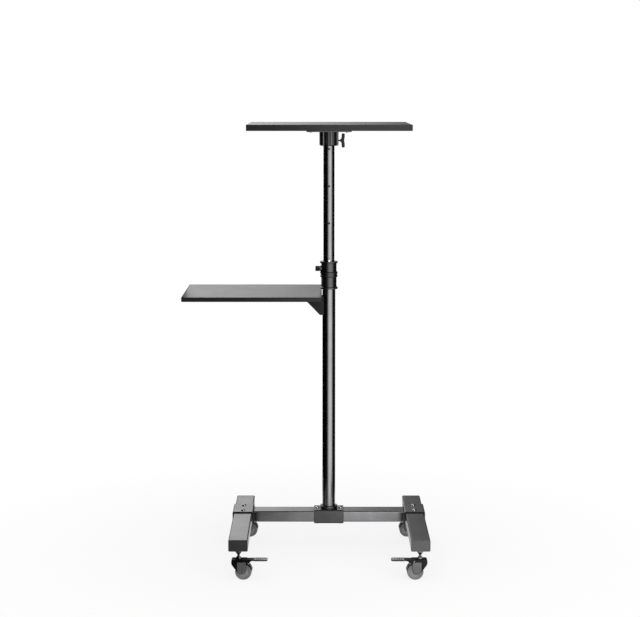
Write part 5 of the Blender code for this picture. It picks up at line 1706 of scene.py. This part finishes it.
# %% Wheels
WHEEL_RADIUS = 0.0215
WHEEL_HALF = 0.0090
RIM_RADIUS = 0.0160
tyre_half = [(RIM_RADIUS, -WHEEL_HALF + 0.0004), (RIM_RADIUS + 0.0006, -WHEEL_HALF), (0.0188, -WHEEL_HALF),
             (0.0200, -0.0086), (0.0209, -0.0077), (0.0213, -0.0066), (WHEEL_RADIUS, -0.0050),
             (WHEEL_RADIUS, -0.0004), (WHEEL_RADIUS - 0.00012, -0.0002)]
tyre = turned("wheel_tread_rubber_front_left", both_halves(tyre_half, WHEEL.y), "Y", WHEEL_AXIS, 96,
              ring=True)
core_half = [(0.0033, -0.0097), (0.0060, -0.0097), (0.0065, -0.0092), (0.0070, -0.0076), (0.0078, -0.0066),
             (0.0090, -0.0063), (0.0128, -0.0063), (0.0137, -0.0068), (0.0143, -0.0082), (0.0150, -0.0088),
             (0.0157, -0.0088)]
core = turned("wheel_core_moulding_front_left", both_halves(core_half, WHEEL.y), "Y", WHEEL_AXIS, 96,
              ring=True)
dress_all(smooth(tyre, 50.0), "wheel_tread", "rubber", ENDS, TYRE_RUBBER)
dress_all(smooth(core, 40.0), "wheel_core", "moulding", ENDS, CORE_PLASTIC)

# %% Axles
AXLE_SEAT = FORK_HALF + 0.0003
axle_half = [(0.0, -AXLE_SEAT - 0.0015), (0.0012, -AXLE_SEAT - 0.0015), (0.0030, -AXLE_SEAT - 0.0013),
             (0.0042, -AXLE_SEAT - 0.0008), (0.0046, -AXLE_SEAT - 0.0003), (0.0046, -AXLE_SEAT),
             (0.0030, -AXLE_SEAT)]
axle = turned("wheel_axle_rivet_front_left", both_halves(axle_half, WHEEL.y), "Y", WHEEL_AXIS, 40)
dress_all(smooth(axle, 40.0), "wheel_axle", "rivet", ENDS, TONGUE_GREY)

# %% [markdown]
# ### Brake pedals
# A front caster's pedal is a black lever that turns on a pin between the cheeks. Its shoe comes
# down on the tyre, and a grey pad with grip ridges covers its outer half. The lever is extruded
# from its outline, and the pad is a block with round corners, set over the lever's end.

# %% Pedal finishes
PEDAL_PAD = layered_finish(
    "grey_pedal_pad", tone=0.30, gloss=0.46, specular=0.45, drift=(60.0, 0.14), smudge=(60.0, 0.14),
    relief=(1300.0, 0.00002), wear=(0.0008, 0.5, 0.12),
)

# %% Brake pedals
PEDAL_TOP = 0.0540
LEVER_UNDER = 0.0510
LEVER_HALF = 0.0097
PADDLE_HALF = 0.0120
SHOULDER_START, SHOULDER_END = 0.0270, 0.0600
SHOULDER_CORNER = 0.0040
PAD_START, PAD_END = 0.0410, 0.0750
PAD_MIDDLE = (PAD_START + PAD_END) / 2.0
PAD_CORNER, PAD_BACK_CORNER = 0.0060, 0.0015
PAD_RIM = 0.0008                 # the black border round the grey pad
GROOVES, GROOVE_START, GROOVE_PITCH = 5, 0.0470, 0.0048
GROOVE_WIDTH, GROOVE_HALF, GROOVE_DEPTH = 0.0016, 0.0085, 0.0005
LEVER_OUTLINE = [
    (0.0104, 0.0475), (0.0104, 0.0530), (0.0114, PEDAL_TOP), (0.0550, PEDAL_TOP - 0.0004),
    (0.0550, LEVER_UNDER + 0.0004), (0.0370, LEVER_UNDER), (0.0330, 0.0500), (0.0252, 0.0440),
    (0.0238, 0.0434), (0.0222, 0.0440), (0.0205, 0.0475),
]
lever = across_fork("brake_pedal_lever_left", LEVER_OUTLINE, LEVER_HALF)
shoulder_half = PADDLE_HALF - 0.0008
shoulder = block("shoulder", (STEM.x + SHOULDER_START, STEM.y - shoulder_half, LEVER_UNDER + 0.0002),
                 (STEM.x + SHOULDER_END, STEM.y + shoulder_half, PEDAL_TOP - 0.0003))
with editing(shoulder):
    round_edges("Z", SHOULDER_CORNER, 6)
weld(lever, shoulder)
cut(lever, bore_across("hinge_bore", HINGE_BORE, HINGE, 24))
soften(lever, FINE_ROUND)
pad = block("pad", (STEM.x + PAD_START, STEM.y - PADDLE_HALF, LEVER_UNDER - 0.0002),
            (STEM.x + PAD_END, STEM.y + PADDLE_HALF, PEDAL_TOP))
with editing(pad):
    pick("EDGE", lambda middle, way: abs(way.z) > 0.99 and middle.x > STEM.x + PAD_MIDDLE)
    bevel(PAD_CORNER, 8)
    pick("EDGE", lambda middle, way: abs(way.z) > 0.99 and middle.x < STEM.x + PAD_MIDDLE)
    bevel(PAD_BACK_CORNER, 4)
    pick("FACE", lambda middle, way: way.z > 0.99)
    inset(PAD_RIM)
for number in range(GROOVES):
    start = STEM.x + GROOVE_START + number * GROOVE_PITCH
    cut(pad, block("groove", (start, STEM.y - GROOVE_HALF, PEDAL_TOP - GROOVE_DEPTH),
                   (start + GROOVE_WIDTH, STEM.y + GROOVE_HALF, PEDAL_TOP + OVERRUN)))
soften(pad, 0.0004, 3)
rim = PAD_RIM - HAIR
paint(pad, lambda face: face.normal.z > 0.5 and abs(face.center.y - STEM.y) < PADDLE_HALF - rim
      and face.center.x < STEM.x + PAD_END - rim)
for piece, finishes in ((lever, [HOOD_BLACK]), (pad, [HOOD_BLACK, PEDAL_PAD])):
    for finish in finishes:
        piece.data.materials.append(finish)
pedal = smooth(gather(lever, pad), 40.0)
report(dress(pedal, "brake_pedal_left"))
right_pedal = copied(pedal, "brake_pedal_lever_right", caster_place("front_right"))
report(dress(right_pedal, "brake_pedal_right"))

# %% [markdown]
# ## Parts that stay as they are
# The sliding bush, the pole's guide, the foot's plug and bolt, the knob's screw and the brake
# pins are nearly hidden, and their solids have the right shape. They keep their own meshes and
# only get a finish.

# %% Finishes for the hidden parts
SLIDE_PLASTIC = layered_finish(
    "black_slide_plastic", tone=0.030, gloss=0.30, drift=(80.0, 0.18), smudge=(50.0, 0.12),
    relief=(1600.0, 0.000010), grain=((1.0, 1.0, 0.03), 900.0, 0.12),
)
for node, finish in (
    ("collar_bush", SLIDE_PLASTIC), ("upper_pole_guide", SLIDE_PLASTIC), ("pole_foot_plug", BRIGHT_ZINC),
    ("pole_foot_bolt", BRIGHT_ZINC), ("collar_knob_screw", BRIGHT_ZINC), ("brake_pin_left", STEM_METAL),
    ("brake_pin_right", STEM_METAL),
):
    mesh = frame["nodes"][node].data
    mesh.materials.clear()
    mesh.materials.append(finish)
    print(node, "keeps its mesh, in", finish.name)
